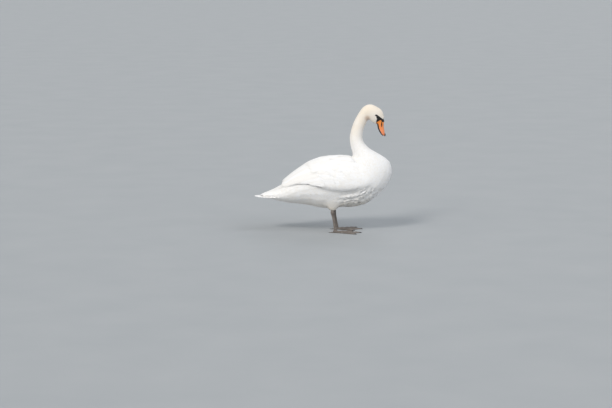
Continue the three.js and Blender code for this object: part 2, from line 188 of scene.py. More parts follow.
# Landmarks down the middle of the bird, from the bill's root to the tail's tip: where they are, how deep
# the coat is there, how long and wide a feather is, and how round the body is, as a radius.
LANDMARKS = np.array([
    # x, z, coat, length, width, radius
    (0.316, 0.612, 0.0010, 0.0046, 0.0019, 0.018),
    (0.300, 0.640, 0.0012, 0.0054, 0.0021, 0.026),
    (0.268, 0.655, 0.0016, 0.0068, 0.0025, 0.031),
    (0.236, 0.650, 0.0019, 0.0084, 0.0029, 0.030),
    (0.210, 0.615, 0.0022, 0.0104, 0.0035, 0.030),
    (0.188, 0.560, 0.0026, 0.0132, 0.0045, 0.034),
    (0.186, 0.510, 0.0030, 0.0172, 0.0062, 0.041),
    (0.205, 0.460, 0.0036, 0.0224, 0.0086, 0.054),
    (0.235, 0.400, 0.0042, 0.0280, 0.0114, 0.080),
    (0.215, 0.335, 0.0048, 0.0330, 0.0138, 0.105),
    (0.150, 0.288, 0.0052, 0.0370, 0.0156, 0.120),
    (0.040, 0.270, 0.0052, 0.0400, 0.0168, 0.125),
    (-0.120, 0.245, 0.0050, 0.0430, 0.0174, 0.110),
    (-0.240, 0.208, 0.0042, 0.0500, 0.0180, 0.075),
    (-0.380, 0.196, 0.0024, 0.0550, 0.0180, 0.040),
])


def rounded(places, known_places, table, times):
    """The values of a table at more places, with the corners at its rows rounded."""
    values = np.stack([np.interp(places, known_places, column) for column in table.T], axis=1)
    for _ in range(times):
        values[1:-1] = (values[:-2] + values[1:-1] + values[2:]) / 3
    return values


spine_places = np.linspace(0, len(LANDMARKS) - 1, SPINE_STEPS * (len(LANDMARKS) - 1) + 1)
spine_values = rounded(spine_places, range(len(LANDMARKS)), LANDMARKS, SPINE_STEPS)
spine = spine_values[:, :2]
spine_way = np.gradient(spine, axis=0)
spine_way /= np.linalg.norm(spine_way, axis=1, keepdims=True)


def unit(vectors):
    return vectors / np.maximum(np.linalg.norm(vectors, axis=-1, keepdims=True), 1e-12)


def beside_spine(points):
    """For each point: the way feathers lie, the coat's values, its place on the spine, the turn round it."""
    ways, values, places, turns = [], [], [], []
    for block in np.array_split(points, max(1, len(points) // 8000)):
        away = ((block[:, None, (0, 2)] - spine[None]) ** 2).sum(axis=2)
        nearest = away.argmin(axis=1)
        weight = np.exp((away.min(axis=1, keepdims=True) - away) / (2 * SPINE_BLEND**2))
        weight /= weight.sum(axis=1, keepdims=True)
        way = weight @ spine_way
        ways.append(np.stack([way[:, 0], np.zeros(len(block)), way[:, 1]], axis=1))
        values.append(weight @ spine_values[:, 2:])
        places.append(weight @ np.arange(len(spine)))
        out = block[:, (0, 2)] - spine[nearest]
        across = out[:, 0] * spine_way[nearest, 1] - out[:, 1] * spine_way[nearest, 0]
        turns.append(np.arctan2(block[:, 1], across))
    return (np.concatenate(part) for part in (ways, values, places, turns))


def joined_copy(names, swell):
    """One bmesh of copies of the named solids, each swollen, so that neighbours run into each other."""
    whole = bmesh.new()
    for name in names:
        part = bmesh.new()
        part.from_mesh(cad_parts[name].data)
        bmesh.ops.remove_doubles(part, verts=part.verts, dist=1e-5)
        part.normal_update()
        for vertex in part.verts:
            vertex.co += vertex.normal * swell
        data = mesh_of(part, name)
        whole.from_mesh(data)
        bpy.data.meshes.remove(data)
    return whole


def melted(name, rough, voxel, smoothing):
    """The new object of a bmesh whose overlapping solids are melted into one even, smooth mesh."""
    piece = placed(name, mesh_of(rough, name))
    melt = piece.modifiers.new("melt", "REMESH")
    melt.mode = "VOXEL"
    melt.voxel_size = voxel
    smooth = piece.modifiers.new("smooth", "SMOOTH")
    smooth.factor = 0.5
    smooth.iterations = smoothing
    graph = bpy.context.evaluated_depsgraph_get()
    piece.data = bpy.data.meshes.new_from_object(piece.evaluated_get(graph))
    piece.modifiers.clear()
    piece.data.name = name
    piece.data.shade_smooth()
    return piece


def points_of(mesh):
    values = np.empty(len(mesh.vertices) * 3)
    mesh.vertices.foreach_get("co", values)
    return values.reshape(-1, 3)


def normals_of(mesh):
    values = np.empty(len(mesh.vertices) * 3)
    mesh.vertex_normals.foreach_get("vector", values)
    return values.reshape(-1, 3)


def set_points(mesh, points):
    mesh.vertices.foreach_set("co", points.ravel())
    mesh.update()


def wear(piece, material):
    piece.data.materials.clear()
    piece.data.materials.append(material)


# The outer face of both wings together, as sections along the bird: x, top, bottom, half width, and how far
# up it is widest. Behind the wings it runs on over the tail, where the tips lie.
WING_SECTIONS = np.array([
    (-0.330, 0.217, 0.196, 0.026, 0.5),
    (-0.296, 0.229, 0.204, 0.032, 0.5),
    (-0.262, 0.246, 0.212, 0.042, 0.5),
    (-0.236, 0.265, 0.212, 0.054, 0.5),
    (-0.213, 0.291, 0.208, 0.070, 0.48),
    (-0.181, 0.319, 0.190, 0.093, 0.46),
    (-0.126, 0.360, 0.178, 0.117, 0.42),
    (-0.071, 0.393, 0.168, 0.131, 0.42),
    (-0.016, 0.413, 0.160, 0.139, 0.42),
    (0.038, 0.421, 0.156, 0.142, 0.42),
    (0.093, 0.424, 0.156, 0.141, 0.42),
    (0.146, 0.421, 0.160, 0.135, 0.42),
    (0.196, 0.402, 0.168, 0.127, 0.44),
    (0.240, 0.380, 0.184, 0.118, 0.46),
    (0.276, 0.354, 0.206, 0.105, 0.48),
    (0.304, 0.322, 0.240, 0.080, 0.5),
])
SECTION_STEPS, SECTION_ROUNDING = 400, 40
section_x = np.linspace(WING_SECTIONS[0, 0], WING_SECTIONS[-1, 0], SECTION_STEPS)
section_values = rounded(section_x, WING_SECTIONS[:, 0], WING_SECTIONS[:, 1:], SECTION_ROUNDING)

# How far round from the top a folded wing's lower edge is, in degrees.
EDGE_TURN = np.array([
    (-0.330, 45), (-0.296, 50), (-0.262, 58), (-0.236, 65), (-0.200, 69), (-0.137, 74), (-0.060, 85),
    (0.020, 94), (0.100, 99), (0.220, 100),
])


def wing_section(x):
    """The wings' outer face across the bird at x: its top, widest level, bottom and half width."""
    top, bottom, half, share = (np.interp(x, section_x, c) for c in section_values.T)
    return top, bottom + (top - bottom) * share, bottom, half


def wing_face(x, turn):
    """Points of the wings' outer face on the left, at x and at a share of the turn to its lower edge."""
    top, middle, bottom, half = wing_section(x)
    turn = turn * np.radians(np.interp(x, *EDGE_TURN.T))
    rise = np.cos(turn)
    return np.stack(
        [x, half * np.sin(turn), middle + rise * np.where(rise > 0, top - middle, middle - bottom)], axis=-1
    )


# The rump sinks under the wings' last tips, which stand clear of it: x and depth.
RUMP_DIP = np.array([
    (-0.262, 0.0), (-0.247, 0.001), (-0.236, 0.0045), (-0.231, 0.0085), (-0.2255, 0.0115), (-0.213, 0.0125),
    (-0.200, 0.009), (-0.178, 0.003), (-0.162, 0.0),
])
DIP_TURN = (28, 62)  # whole within the first angle from the top, and gone past the second
# How deep the pad lies under the wings' outer face, from end to end: it runs out inside the body in front.
PAD_DEPTH = np.array([(-0.325, 0.005), (-0.192, 0.005), (-0.150, 0.026)])
PAD_RINGS, PAD_AROUND = 36, 28


def rump_dip(x, turn):
    """How far the rump sinks under the wings' outer face, at x and at an angle from the top."""
    return np.interp(x, *RUMP_DIP.T) * np.interp(np.degrees(np.abs(turn)), DIP_TURN, (1, 0))


def rump_face(x, turn):
    """As wing_face, for the feathers of the rump."""
    point = wing_face(x, turn)
    point[..., 2] -= rump_dip(x, turn * np.radians(np.interp(x, *EDGE_TURN.T)))
    return point


def add_rump_pad(whole):
    """The down over the rump, which fills the form out to the tips of the wings that lie on it."""
    pad_rings = []
    for x in np.linspace(PAD_DEPTH[0, 0], PAD_DEPTH[-1, 0], PAD_RINGS):
        top, middle, bottom, half = wing_section(x)
        depth = np.interp(x, *PAD_DEPTH.T)
        ring = []
        for k in range(PAD_AROUND):
            turn = math.remainder(math.tau * k / PAD_AROUND, math.tau)
            rise, out = math.cos(turn), math.sin(turn)
            tall = top - middle if rise > 0 else middle - bottom
            z = middle + rise * (tall - depth) - rump_dip(x, turn)
            ring.append(whole.verts.new((x, (half - depth) * out, z)))
        pad_rings.append(ring)
    for one, two in zip(pad_rings, pad_rings[1:]):
        for k in range(PAD_AROUND):
            after = (k + 1) % PAD_AROUND
            whole.faces.new((one[k], two[k], two[after], one[after]))
    whole.faces.new(pad_rings[0])
    whole.faces.new(pad_rings[-1][::-1])
    return whole


def over_rump(points):
    """How far points stand over the rump's pad."""
    top, middle, _, half = wing_section(points[:, 0])
    round_back = np.sqrt(np.clip(1 - (points[:, 1] / half) ** 2, 0, 1))
    surface = middle + (top - middle - PAD_DEPTH[0, 1]) * round_back - np.interp(points[:, 0], *RUMP_DIP.T)
    return points[:, 2] - surface


flesh = add_rump_pad(joined_copy(FLESH + ["eye_left", "eye_right"], SWELL))
skin = melted("skin", flesh, SKIN_VOXEL, SKIN_SMOOTHING)


def edge_pairs(mesh):
    ends = np.empty(len(mesh.edges) * 2, dtype=np.int32)
    mesh.edges.foreach_get("vertices", ends)
    return ends.reshape(-1, 2)


def evened(pairs, values, times, share=1.0):
    """Vertex values after their means with the neighbours' are taken a number of times."""
    ends, others = np.concatenate([pairs, pairs[:, ::-1]]).T
    count = 1 + np.bincount(ends, minlength=len(values))
    columns = values.reshape(len(values), -1).T.copy()
    for _ in range(times):
        for column in columns:
            total = column + np.bincount(ends, column[others], len(column))
            column += (total / count - column) * share
    return columns.T.reshape(values.shape)


outside = points_of(skin.data)
pairs = edge_pairs(skin.data)

# The feathered thigh is a wide triangle where it leaves the belly, and runs into it without an edge.
THIGH_BOTTOM, THIGH_WIDEST, THIGH_TOP, THIGH_FADE = 0.118, 0.180, 0.235, 0.05
THIGH_REACH = (0.052, 0.045)  # along the bird and across
THIGH_GROWTH = 1.45
THIGH_EVENING = 24
for name in ("thigh_left", "thigh_right"):
    low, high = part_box(name)
    off = outside[:, 0] - (low[0] + high[0]) / 2
    beside = outside[:, 1] - (low[1] + high[1]) / 2
    up = np.clip((outside[:, 2] - THIGH_BOTTOM) / (THIGH_WIDEST - THIGH_BOTTOM), 0, 1)
    down = np.clip((THIGH_TOP - outside[:, 2]) / THIGH_FADE, 0, 1)
    near = np.exp(-((off / THIGH_REACH[0]) ** 2)) * np.exp(-((beside / THIGH_REACH[1]) ** 2))
    outside[:, 0] += off * THIGH_GROWTH * up * down * near
    weight = np.clip(1.6 * near, 0, 1) * np.clip(up * 1.6 - 0.45, 0, 1) * down
    outside = evened(pairs, outside, THIGH_EVENING, weight)

# The flesh of the wing ends before its last feathers, and the rump runs on under them.
WING_END = (-0.250, -0.240, -0.222, -0.205)  # whole between the two in the middle
WING_END_SINKS = 0.85  # of its height over the rump
WING_END_TOP = 0.32
over = np.maximum(over_rump(outside), 0) * np.interp(outside[:, 0], WING_END, (0, 1, 1, 0))
outside[:, 2] -= WING_END_SINKS * over * (outside[:, 2] < WING_END_TOP)

# Feathers of the breast's sides run over the front of the folded wing, so its edge is filled up there.
along_edge = outside[:, (0, 2)][:, None] - WING_FRONT_EDGE[None]
near_edge = np.sqrt((along_edge**2).sum(axis=2)).min(axis=1)
fill = np.clip(1.4 - near_edge / FILL_REACH, 0, 1) * (np.abs(outside[:, 1]) > ON_SIDE)
outside = evened(pairs, outside, FILL_TIMES, fill)
set_points(skin.data, outside)
outward = normals_of(skin.data)
way, values, _, _ = beside_spine(outside)
coat_depth = values[:, 0]

# Folds along the lie, where the coat is loose: on the lower breast and at the neck's root behind.
RUFFLES = [
    # middle x and z, reach along x and z, how deep the folds are, how wide they are
    (0.225, 0.188, 0.155, 0.075, 0.0060, 0.0125),
    (0.168, 0.428, 0.034, 0.036, 0.0028, 0.0100),
]
FOLD_DEPTH = 0.006  # of the deepest folds
FOLD_STRETCH = 0.72  # at nought folds are as long as they are wide, and at one they never end
ruffle = np.zeros(len(outside))
for x, z, reach_x, reach_z, deep, wide in RUFFLES:
    from_middle = outside - (x, 0, z)
    inside_reach = 1 - (from_middle[:, 0] / reach_x) ** 2 - (from_middle[:, 2] / reach_z) ** 2
    weight = np.clip(2 * inside_reach, 0, 1)
    squeezed = from_middle - way * (FOLD_STRETCH * (from_middle * way).sum(axis=1, keepdims=True))
    for i in np.flatnonzero(weight):
        broad, fine = noise.noise(Vector(squeezed[i] / wide)), noise.noise(Vector(squeezed[i] * 2.2 / wide))
        fold = broad + 0.5 * fine
        outside[i] -= outward[i] * deep * weight[i] * min(max(0.4 + 1.1 * fold, 0.0), 1.0)
    ruffle = np.maximum(ruffle, weight * deep / FOLD_DEPTH)
set_points(skin.data, outside)
outward = normals_of(skin.data)
outer_tree = BVHTree.FromObject(skin, bpy.context.evaluated_depsgraph_get())
thickness = np.array(
    [outer_tree.ray_cast(Vector(p - 1e-4 * n), Vector(-n))[3] or 1.0 for p, n in zip(outside, outward)]
)
coat_depth = evened(pairs, np.minimum(coat_depth, THIN_SHARE * thickness), COAT_EVENING)
inside = outside - outward * coat_depth[:, None]
set_points(skin.data, inside)

# The form that the feathers are laid on, kept apart from the skin that shows.
lining = skin.data.copy()
lining_points = points_of(lining)
lining_normals = normals_of(lining)
lining_faces = [tuple(p.vertices) for p in lining.polygons]
lining_tree = BVHTree.FromPolygons(lining_points.tolist(), lining_faces)
corners = np.array([f if len(f) == 4 else f + f[-1:] for f in lining_faces])
face_points = lining_points[corners].mean(axis=1)
face_normals = unit(lining_normals[corners].mean(axis=1))
face_coat = coat_depth[corners].mean(axis=1)
face_ruffle = ruffle[corners].mean(axis=1)
face_way, face_values, face_place, face_turn = beside_spine(face_points)
face_way = unit(face_way - face_normals * (face_way * face_normals).sum(axis=1, keepdims=True))
side_a = lining_points[corners[:, 2]] - lining_points[corners[:, 0]]
side_b = lining_points[corners[:, 3]] - lining_points[corners[:, 1]]
face_area = np.linalg.norm(np.cross(side_a, side_b), axis=1) / 2

# The flesh of the tail is short: its outer half is feathers only.
TAIL_ROOT_X = -0.243
TAIL_FLESH = 0.45
shown = points_of(skin.data)
past = np.minimum(shown[:, 0] - TAIL_ROOT_X, 0)
shown[:, 0] -= past * (1 - TAIL_FLESH)
# Under the last long feathers of the wing the skin lies a little deeper, so that it stays clear of them.
LAST_FEATHERS, LAST_REACH, LAST_DEPTH = (-0.166, 0.284), (0.030, 0.020), 0.003
from_last = (((shown[:, (0, 2)] - LAST_FEATHERS) / LAST_REACH) ** 2).sum(axis=1)
shown -= outward * (LAST_DEPTH * np.exp(-from_last) * (np.abs(shown[:, 1]) > ON_SIDE))[:, None]
set_points(skin.data, shown)


PLUMAGE_CLOUD = 1 / 18  # how wide a patch of the buff is
NECK_BUFF = (0.42, 0.66)  # the heights over which the buff comes in
# Where the painted tan shade in the bend of the throat lies, seen from the side, and the distances from it
# at which it is gone and whole.
THROAT_SHADE, THROAT_SHADE_REACH = (0.2425, 0.0, 0.628), (0.023, 0.004)
BELLY_STAIN = (0.205, 0.135)
FLUFF = 1 / 900  # a tuft of down, about a millimetre wide


def plumage_colour(tree, coordinates):
    """White, buff on the head and neck, painted tan shade in the bend of the throat, and a little stained
    under the belly and the tail.
    """
    height = add(tree, "ShaderNodeSeparateXYZ", {"Vector": coordinates}).outputs["Z"]
    neck = add(
        tree,
        "ShaderNodeMapRange",
        {"Value": height, "From Min": NECK_BUFF[0], "From Max": NECK_BUFF[1]},
        interpolation_type="SMOOTHSTEP",
    ).outputs[0]
    cloud = add(
        tree, "ShaderNodeTexNoise", {"Vector": coordinates, "Scale": 1 / PLUMAGE_CLOUD, "Detail": 3.0}
    ).outputs["Fac"]
    buff = add(tree, "ShaderNodeMath", {0: neck, 1: cloud}, operation="MULTIPLY").outputs[0]
    white = add(
        tree, "ShaderNodeMix", {0: buff, 6: linear("#efeff0"), 7: linear("#ecd6b4")}, data_type="RGBA"
    ).outputs[2]
    # Painted shade: the white is darkened to tan in the bend of the throat, where shade falls.
    in_side_view = add(
        tree, "ShaderNodeVectorMath", {0: coordinates, 1: (1.0, 0.0, 1.0)}, operation="MULTIPLY"
    ).outputs["Vector"]
    from_throat = add(
        tree, "ShaderNodeVectorMath", {0: in_side_view, 1: THROAT_SHADE}, operation="DISTANCE"
    ).outputs["Value"]
    throat_shade = add(
        tree,
        "ShaderNodeMapRange",
        {"Value": from_throat, "From Min": THROAT_SHADE_REACH[0], "From Max": THROAT_SHADE_REACH[1]},
        interpolation_type="SMOOTHSTEP",
    ).outputs[0]
    painted_tan_shade = add(tree, "ShaderNodeMath", {0: throat_shade, 1: 0.7}, operation="MULTIPLY").outputs[0]
    shaded = add(
        tree, "ShaderNodeMix", {0: painted_tan_shade, 6: white, 7: linear("#c79f7c")}, data_type="RGBA"
    ).outputs[2]
    low = add(
        tree,
        "ShaderNodeMapRange",
        {"Value": height, "From Min": BELLY_STAIN[0], "From Max": BELLY_STAIN[1]},
        interpolation_type="SMOOTHSTEP",
    ).outputs[0]
    stain = add(tree, "ShaderNodeMath", {0: low, 1: cloud}, operation="MULTIPLY").outputs[0]
    return add(
        tree, "ShaderNodeMix", {0: stain, 6: shaded, 7: linear("#cfc3ae")}, data_type="RGBA"
    ).outputs[2]


# Down over skin: quite matt, in the colours of the plumage, with tufts that are only just seen.
down_and_skin, tree, shader = new_material("down_and_skin")
place = add(tree, "ShaderNodeTexCoord").outputs["Object"]
fluff = add(tree, "ShaderNodeTexNoise", {"Vector": place, "Scale": 1 / FLUFF, "Detail": 2.0}).outputs["Fac"]
bump = add(tree, "ShaderNodeBump", {"Height": fluff, "Distance": 0.0004, "Strength": 0.5}).outputs["Normal"]
feed(tree, shader, {"Base Color": plumage_colour(tree, place), "Normal": bump, "Roughness": 0.9})
wear(skin, down_and_skin)
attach(skin, "root")
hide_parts(*FLESH)

# ---------------------------------------------------------------- Bare face, knob and upper bill
# The bird's face is bare and black from the eye to the bill and over the knob on the forehead. The horny
# sheath of the bill is orange, with a black edge along the mouth and black nostrils.
FACE_VOXEL = 0.0008
FACE_SMOOTHING = 24
FACE_SINK = 0.0004  # the bare skin lies a little under the feathers round it
# The edge of the bare skin, seen from the side: x and z from the eye round to the chin.
LORES = [
    (0.2925, 0.6465), (0.2991, 0.6438), (0.3117, 0.6358), (0.3228, 0.6262), (0.3323, 0.6158),
    (0.3500, 0.6040), (0.3150, 0.5750), (0.2935, 0.5905), (0.2930, 0.6070), (0.2950, 0.6214),
    (0.2945, 0.6310), (0.2925, 0.6365), (0.2895, 0.6390),
]
LORES_HIDDEN = 0.003  # how far the bare skin runs on under the feathers
# The orange sheath, seen from the side.
SHEATH = [
    (0.2925, 0.6000), (0.2962, 0.6060), (0.3030, 0.6100), (0.3102, 0.6148), (0.3165, 0.6170),
    (0.3205, 0.6130), (0.3222, 0.6045), (0.3240, 0.6030), (0.3290, 0.6062), (0.3340, 0.6040),
    (0.3420, 0.5990), (0.3600, 0.5600), (0.3600, 0.5200), (0.3300, 0.5240), (0.3250, 0.5350),
    (0.3140, 0.5560), (0.3035, 0.5770),
]
SHEATH_RIM, SHEATH_STEP = 0.0012, 0.0005  # how wide its black rim is, and how far it stands up from the skin
NOSTRIL = {"x": 0.3214, "z": 0.5925, "half_width": 0.0025, "half_length": 0.0125, "deep": 0.0016}


def grown(outline, by):
    """A side outline whose corners are moved outwards."""
    corners = np.array(outline)
    before, after = np.roll(corners, 1, axis=0), np.roll(corners, -1, axis=0)
    along = after - before
    away = np.stack([along[:, 1], -along[:, 0]], axis=1)
    away /= np.linalg.norm(away, axis=1, keepdims=True)
    turns = (corners[:, 0] * after[:, 1] - after[:, 0] * corners[:, 1]).sum()
    return corners + away * by * np.sign(turns)


def edge_distance(x, z, outline):
    """How far inside a side outline each point is, and less than nothing outside it."""
    corners = np.array(outline)
    nearest = np.full(len(x), 9.0)
    inside = np.zeros(len(x), dtype=bool)
    for a, b in zip(corners, np.roll(corners, -1, axis=0)):
        dot = (x - a[0]) * (b[0] - a[0]) + (z - a[1]) * (b[1] - a[1])
        along = np.clip(dot / ((b - a) ** 2).sum(), 0, 1)
        off = np.hypot(x - a[0] - along * (b[0] - a[0]), z - a[1] - along * (b[1] - a[1]))
        nearest = np.minimum(nearest, off)
        crosses = (a[1] > z) != (b[1] > z)
        with np.errstate(divide="ignore", invalid="ignore"):
            at = a[0] + (z - a[1]) * (b[0] - a[0]) / (b[1] - a[1])
        inside ^= crosses & (x < at)
    return np.where(inside, nearest, -nearest)


def set_attribute(mesh, name, values):
    layer = mesh.attributes.new(name, "FLOAT", "POINT")
    layer.data.foreach_set("value", np.asarray(values, dtype=np.float32))


# A block of the bare skin's outline, wider than the head, cuts the bare part out of the head's form.
HALF_BLOCK = 0.05
prism = bmesh.new()
rim = prism.faces.new([prism.verts.new((x, -HALF_BLOCK, z)) for x, z in grown(LORES, LORES_HIDDEN)])
pulled = bmesh.ops.extrude_face_region(prism, geom=[rim])["geom"]
pulled = [v for v in pulled if isinstance(v, bmesh.types.BMVert)]
bmesh.ops.translate(prism, verts=pulled, vec=(0, 2 * HALF_BLOCK, 0))
bmesh.ops.recalc_face_normals(prism, faces=prism.faces)
prism_piece = placed("prism", mesh_of(prism, "prism"))
lores_piece = placed("lores", mesh_of(joined_copy(["head"], 0.0), "lores"))
cut = lores_piece.modifiers.new("cut", "BOOLEAN")
cut.operation = "INTERSECT"
cut.solver = "EXACT"
cut.object = prism_piece
lores = bpy.data.meshes.new_from_object(lores_piece.evaluated_get(bpy.context.evaluated_depsgraph_get()))
bpy.data.objects.remove(lores_piece)
bpy.data.objects.remove(prism_piece)
rough = joined_copy(["bill_upper", "knob"], SWELL)
rough.from_mesh(lores)
bill = melted("upper_bill", rough, FACE_VOXEL, FACE_SMOOTHING)
bill_points = points_of(bill.data)
sheath_inside = edge_distance(bill_points[:, 0], bill_points[:, 2], SHEATH)
# The knob runs into the bare face without an edge.
KNOB_FROM, KNOB_FADE, KNOB_EVENING = 0.313, 0.006, 45
ahead = np.clip((bill_points[:, 0] - KNOB_FROM) / KNOB_FADE, 0, 1)
soft = np.clip(0.5 - sheath_inside / 0.002, 0, 1) * ahead
bill_points = evened(edge_pairs(bill.data), bill_points, KNOB_EVENING, soft)
set_points(bill.data, bill_points)
bill_normals = normals_of(bill.data)
nostril_near = np.hypot(
    (bill_points[:, 0] - NOSTRIL["x"]) / NOSTRIL["half_width"],
    (bill_points[:, 2] - NOSTRIL["z"]) / NOSTRIL["half_length"],
)
step = np.clip(sheath_inside / SHEATH_RIM, 0, 1) * SHEATH_STEP
pit = np.clip(1.1 - nostril_near, 0, 1) * NOSTRIL["deep"]
bill_points += bill_normals * (step - pit - FACE_SINK - SWELL)[:, None]
set_points(bill.data, bill_points)
off_sheath = 1 - np.clip(sheath_inside / SHEATH_RIM + 0.5, 0, 1)
set_attribute(bill.data, "dark", np.maximum(off_sheath, np.clip((1.35 - nostril_near) / 0.3, 0, 1)))

HORN_CLOUD = 1 / 140
PORE = 1 / 900
HORN_FADE = (0.605, 0.545)  # the heights over which the orange turns paler, towards the tip

# Horn and bare skin: half glossy with fine pores, orange on the sheath and black on the skin round it.
horn_and_bare_skin, tree, shader = new_material("horn_and_bare_skin")
place = add(tree, "ShaderNodeTexCoord").outputs["Object"]
dark = add(tree, "ShaderNodeAttribute", attribute_name="dark").outputs["Fac"]
height = add(tree, "ShaderNodeSeparateXYZ", {"Vector": place}).outputs["Z"]
toward_tip = add(
    tree, "ShaderNodeMapRange", {"Value": height, "From Min": HORN_FADE[0], "From Max": HORN_FADE[1]}
).outputs[0]
cloud = add(
    tree, "ShaderNodeTexNoise", {"Vector": place, "Scale": 1 / HORN_CLOUD, "Detail": 4.0}
).outputs["Fac"]
orange = add(
    tree, "ShaderNodeMix", {0: toward_tip, 6: linear("#f79a34"), 7: linear("#f29a7e")}, data_type="RGBA"
).outputs[2]
mottled = add(
    tree, "ShaderNodeMix", {0: cloud, 6: orange, 7: linear("#ea8038")}, data_type="RGBA"
).outputs[2]
colour = add(tree, "ShaderNodeMix", {0: dark, 6: mottled, 7: linear("#151312")}, data_type="RGBA").outputs[2]
pores = add(tree, "ShaderNodeTexVoronoi", {"Vector": place, "Scale": 1 / PORE}).outputs["Distance"]
bump = add(tree, "ShaderNodeBump", {"Height": pores, "Distance": 0.0002, "Strength": 0.35}).outputs["Normal"]
feed(tree, shader, {"Base Color": colour, "Normal": bump, "Roughness": 0.42, "Coat Weight": 0.15})
wear(bill, horn_and_bare_skin)
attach(bill, "root")
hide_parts("bill_upper", "knob")

# ---------------------------------------------------------------- Lower bill and nail
# The lower half of the bill is black horn, and so is the hard nail at the tip of the upper half. Both are
# smooth and rounded, each grown as one piece.
BLACK_HORN_VOXEL, BLACK_HORN_SMOOTHING = 0.0007, 5
BLACK_HORN_CLOUD = 1 / 260

# Black horn: smooth and a little glossy, with brown clouds.
black_horn, tree, shader = new_material("black_horn")
place = add(tree, "ShaderNodeTexCoord").outputs["Object"]
colour = clouded(tree, place, BLACK_HORN_CLOUD, 3.0, "#131110", "#2b2725")
feed(tree, shader, {"Base Color": colour, "Roughness": 0.36})
for name, node in (("lower_bill", "bill_lower"), ("bill_tip_nail", "bill_nail")):
    piece = melted(name, joined_copy([node], 0.0), BLACK_HORN_VOXEL, BLACK_HORN_SMOOTHING)
    wear(piece, black_horn)
    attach(piece, "root")
    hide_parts(node)

# ---------------------------------------------------------------- Eyes and lids
# Dark brown eyeballs under a clear wet front, each in a thin ring of bare black lid. An eyeball is sunk a
# little into the head, and its lid lies on it.
EYE_SINK = 0.0006
LID_RADIUS, LID_THICK = 0.0055, 0.0012
LID_TILT = math.radians(32)
LID_LONG, LID_HIGH = 1.1, 0.94  # a little longer toward the bill than it is high
LID_WRINKLE = 1 / 500
IRIS = {0.36: "#050404", 0.44: "#3a2114", 0.72: "#120b08"}  # its colours by the share of the eye's radius

# A wet eye: mirror smooth under a clear coat, dark brown round a black pupil, and darker at its rim.
wet_eye, tree, shader = new_material("wet_eye")
away = add(tree, "ShaderNodeAttribute", attribute_name="from_middle").outputs["Fac"]
ramp = add(tree, "ShaderNodeValToRGB", {"Fac": away})
ramp.color_ramp.elements.new(0.5)
for stop, (position, hex_colour) in zip(ramp.color_ramp.elements, IRIS.items()):
    stop.position = position
    stop.color = linear(hex_colour)
iris = ramp.outputs["Color"]
feed(tree, shader, {"Base Color": iris, "Roughness": 0.06, "Coat Weight": 1.0, "Coat Roughness": 0.02})

# Bare black skin, with a dull sheen and fine wrinkles.
bare_lid, tree, shader = new_material("bare_lid")
place = add(tree, "ShaderNodeTexCoord").outputs["Object"]
colour = clouded(tree, place, LID_WRINKLE, 2.0, "#141110", "#2a2523")
feed(tree, shader, {"Base Color": colour, "Roughness": 0.5})

eye_middles = {}
for side, name in ((1, "left"), (-1, "right")):
    low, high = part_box("eye_" + name)
    middle = (Vector(low) + Vector(high)) / 2
    radius = (high[1] - low[1]) / 2
    eye_middles[side] = middle
    ball = bmesh.new()
    bmesh.ops.create_uvsphere(ball, u_segments=32, v_segments=20, radius=radius)
    bmesh.ops.rotate(ball, verts=ball.verts, matrix=Matrix.Rotation(math.pi / 2, 3, "X"))
    bmesh.ops.translate(ball, verts=ball.verts, vec=middle - Vector((0, side * EYE_SINK, 0)))
    eye = placed("eyeball_" + name, mesh_of(ball, "eyeball_" + name))
    eye.data.shade_smooth()
    where = points_of(eye.data)
    off_middle = np.hypot(where[:, 0] - middle.x, where[:, 2] - middle.z) / radius
    set_attribute(eye.data, "from_middle", off_middle)
    eye.data.materials.append(wet_eye)
    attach(eye, "root")
    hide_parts("eye_" + name)

    ring = bmesh.new()
    turned = Matrix.Translation((LID_RADIUS, 0, 0))
    bmesh.ops.create_circle(ring, segments=10, radius=LID_THICK, matrix=turned)
    bmesh.ops.spin(
        ring, geom=ring.verts[:] + ring.edges[:], angle=math.tau, steps=36, axis=(0, 1, 0), cent=(0, 0, 0),
        use_merge=True,
    )
    bmesh.ops.remove_doubles(ring, verts=ring.verts, dist=1e-5)
    bmesh.ops.recalc_face_normals(ring, faces=ring.faces)
    for vertex in ring.verts:
        vertex.co.x *= LID_LONG
        vertex.co.z *= LID_HIGH
    sits = math.sqrt(radius**2 - LID_RADIUS**2) - EYE_SINK
    bmesh.ops.rotate(ring, verts=ring.verts, matrix=Matrix.Rotation(LID_TILT, 3, "Y"))
    bmesh.ops.translate(ring, verts=ring.verts, vec=middle + Vector((0, side * sits, 0)))
    lid = placed("eyelid_" + name, mesh_of(ring, "eyelid_" + name))
    lid.data.shade_smooth()
    lid.data.materials.append(bare_lid)
    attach(lid, "root")

# The skin is drawn in behind the lids, so that it leaves the eyeballs free.
EYE_HOLE, EYE_HOLE_EDGE, EYE_HOLE_DEPTH = 0.0065, 0.002, 0.006
shown = points_of(skin.data)
for side, middle in eye_middles.items():
    near = np.hypot(shown[:, 0] - middle.x, shown[:, 2] - middle.z)
    draw = np.clip((EYE_HOLE - near) / EYE_HOLE_EDGE, 0, 1) * (shown[:, 1] * side > 0.01)
    shown[:, 1] -= side * draw * EYE_HOLE_DEPTH
# Under the bare face it lies deeper than the bare skin.
UNDER_BARE_DEPTH, UNDER_BARE_EDGE, FACE_BOTTOM = 0.003, 0.0005, 0.57
inside_lores = edge_distance(shown[:, 0], shown[:, 2], LORES) - UNDER_BARE_EDGE
under_bare = np.clip(inside_lores / UNDER_BARE_DEPTH, 0, 1) * (shown[:, 2] > FACE_BOTTOM)
shown -= normals_of(skin.data) * (UNDER_BARE_DEPTH * under_bare)[:, None]
set_points(skin.data, shown)

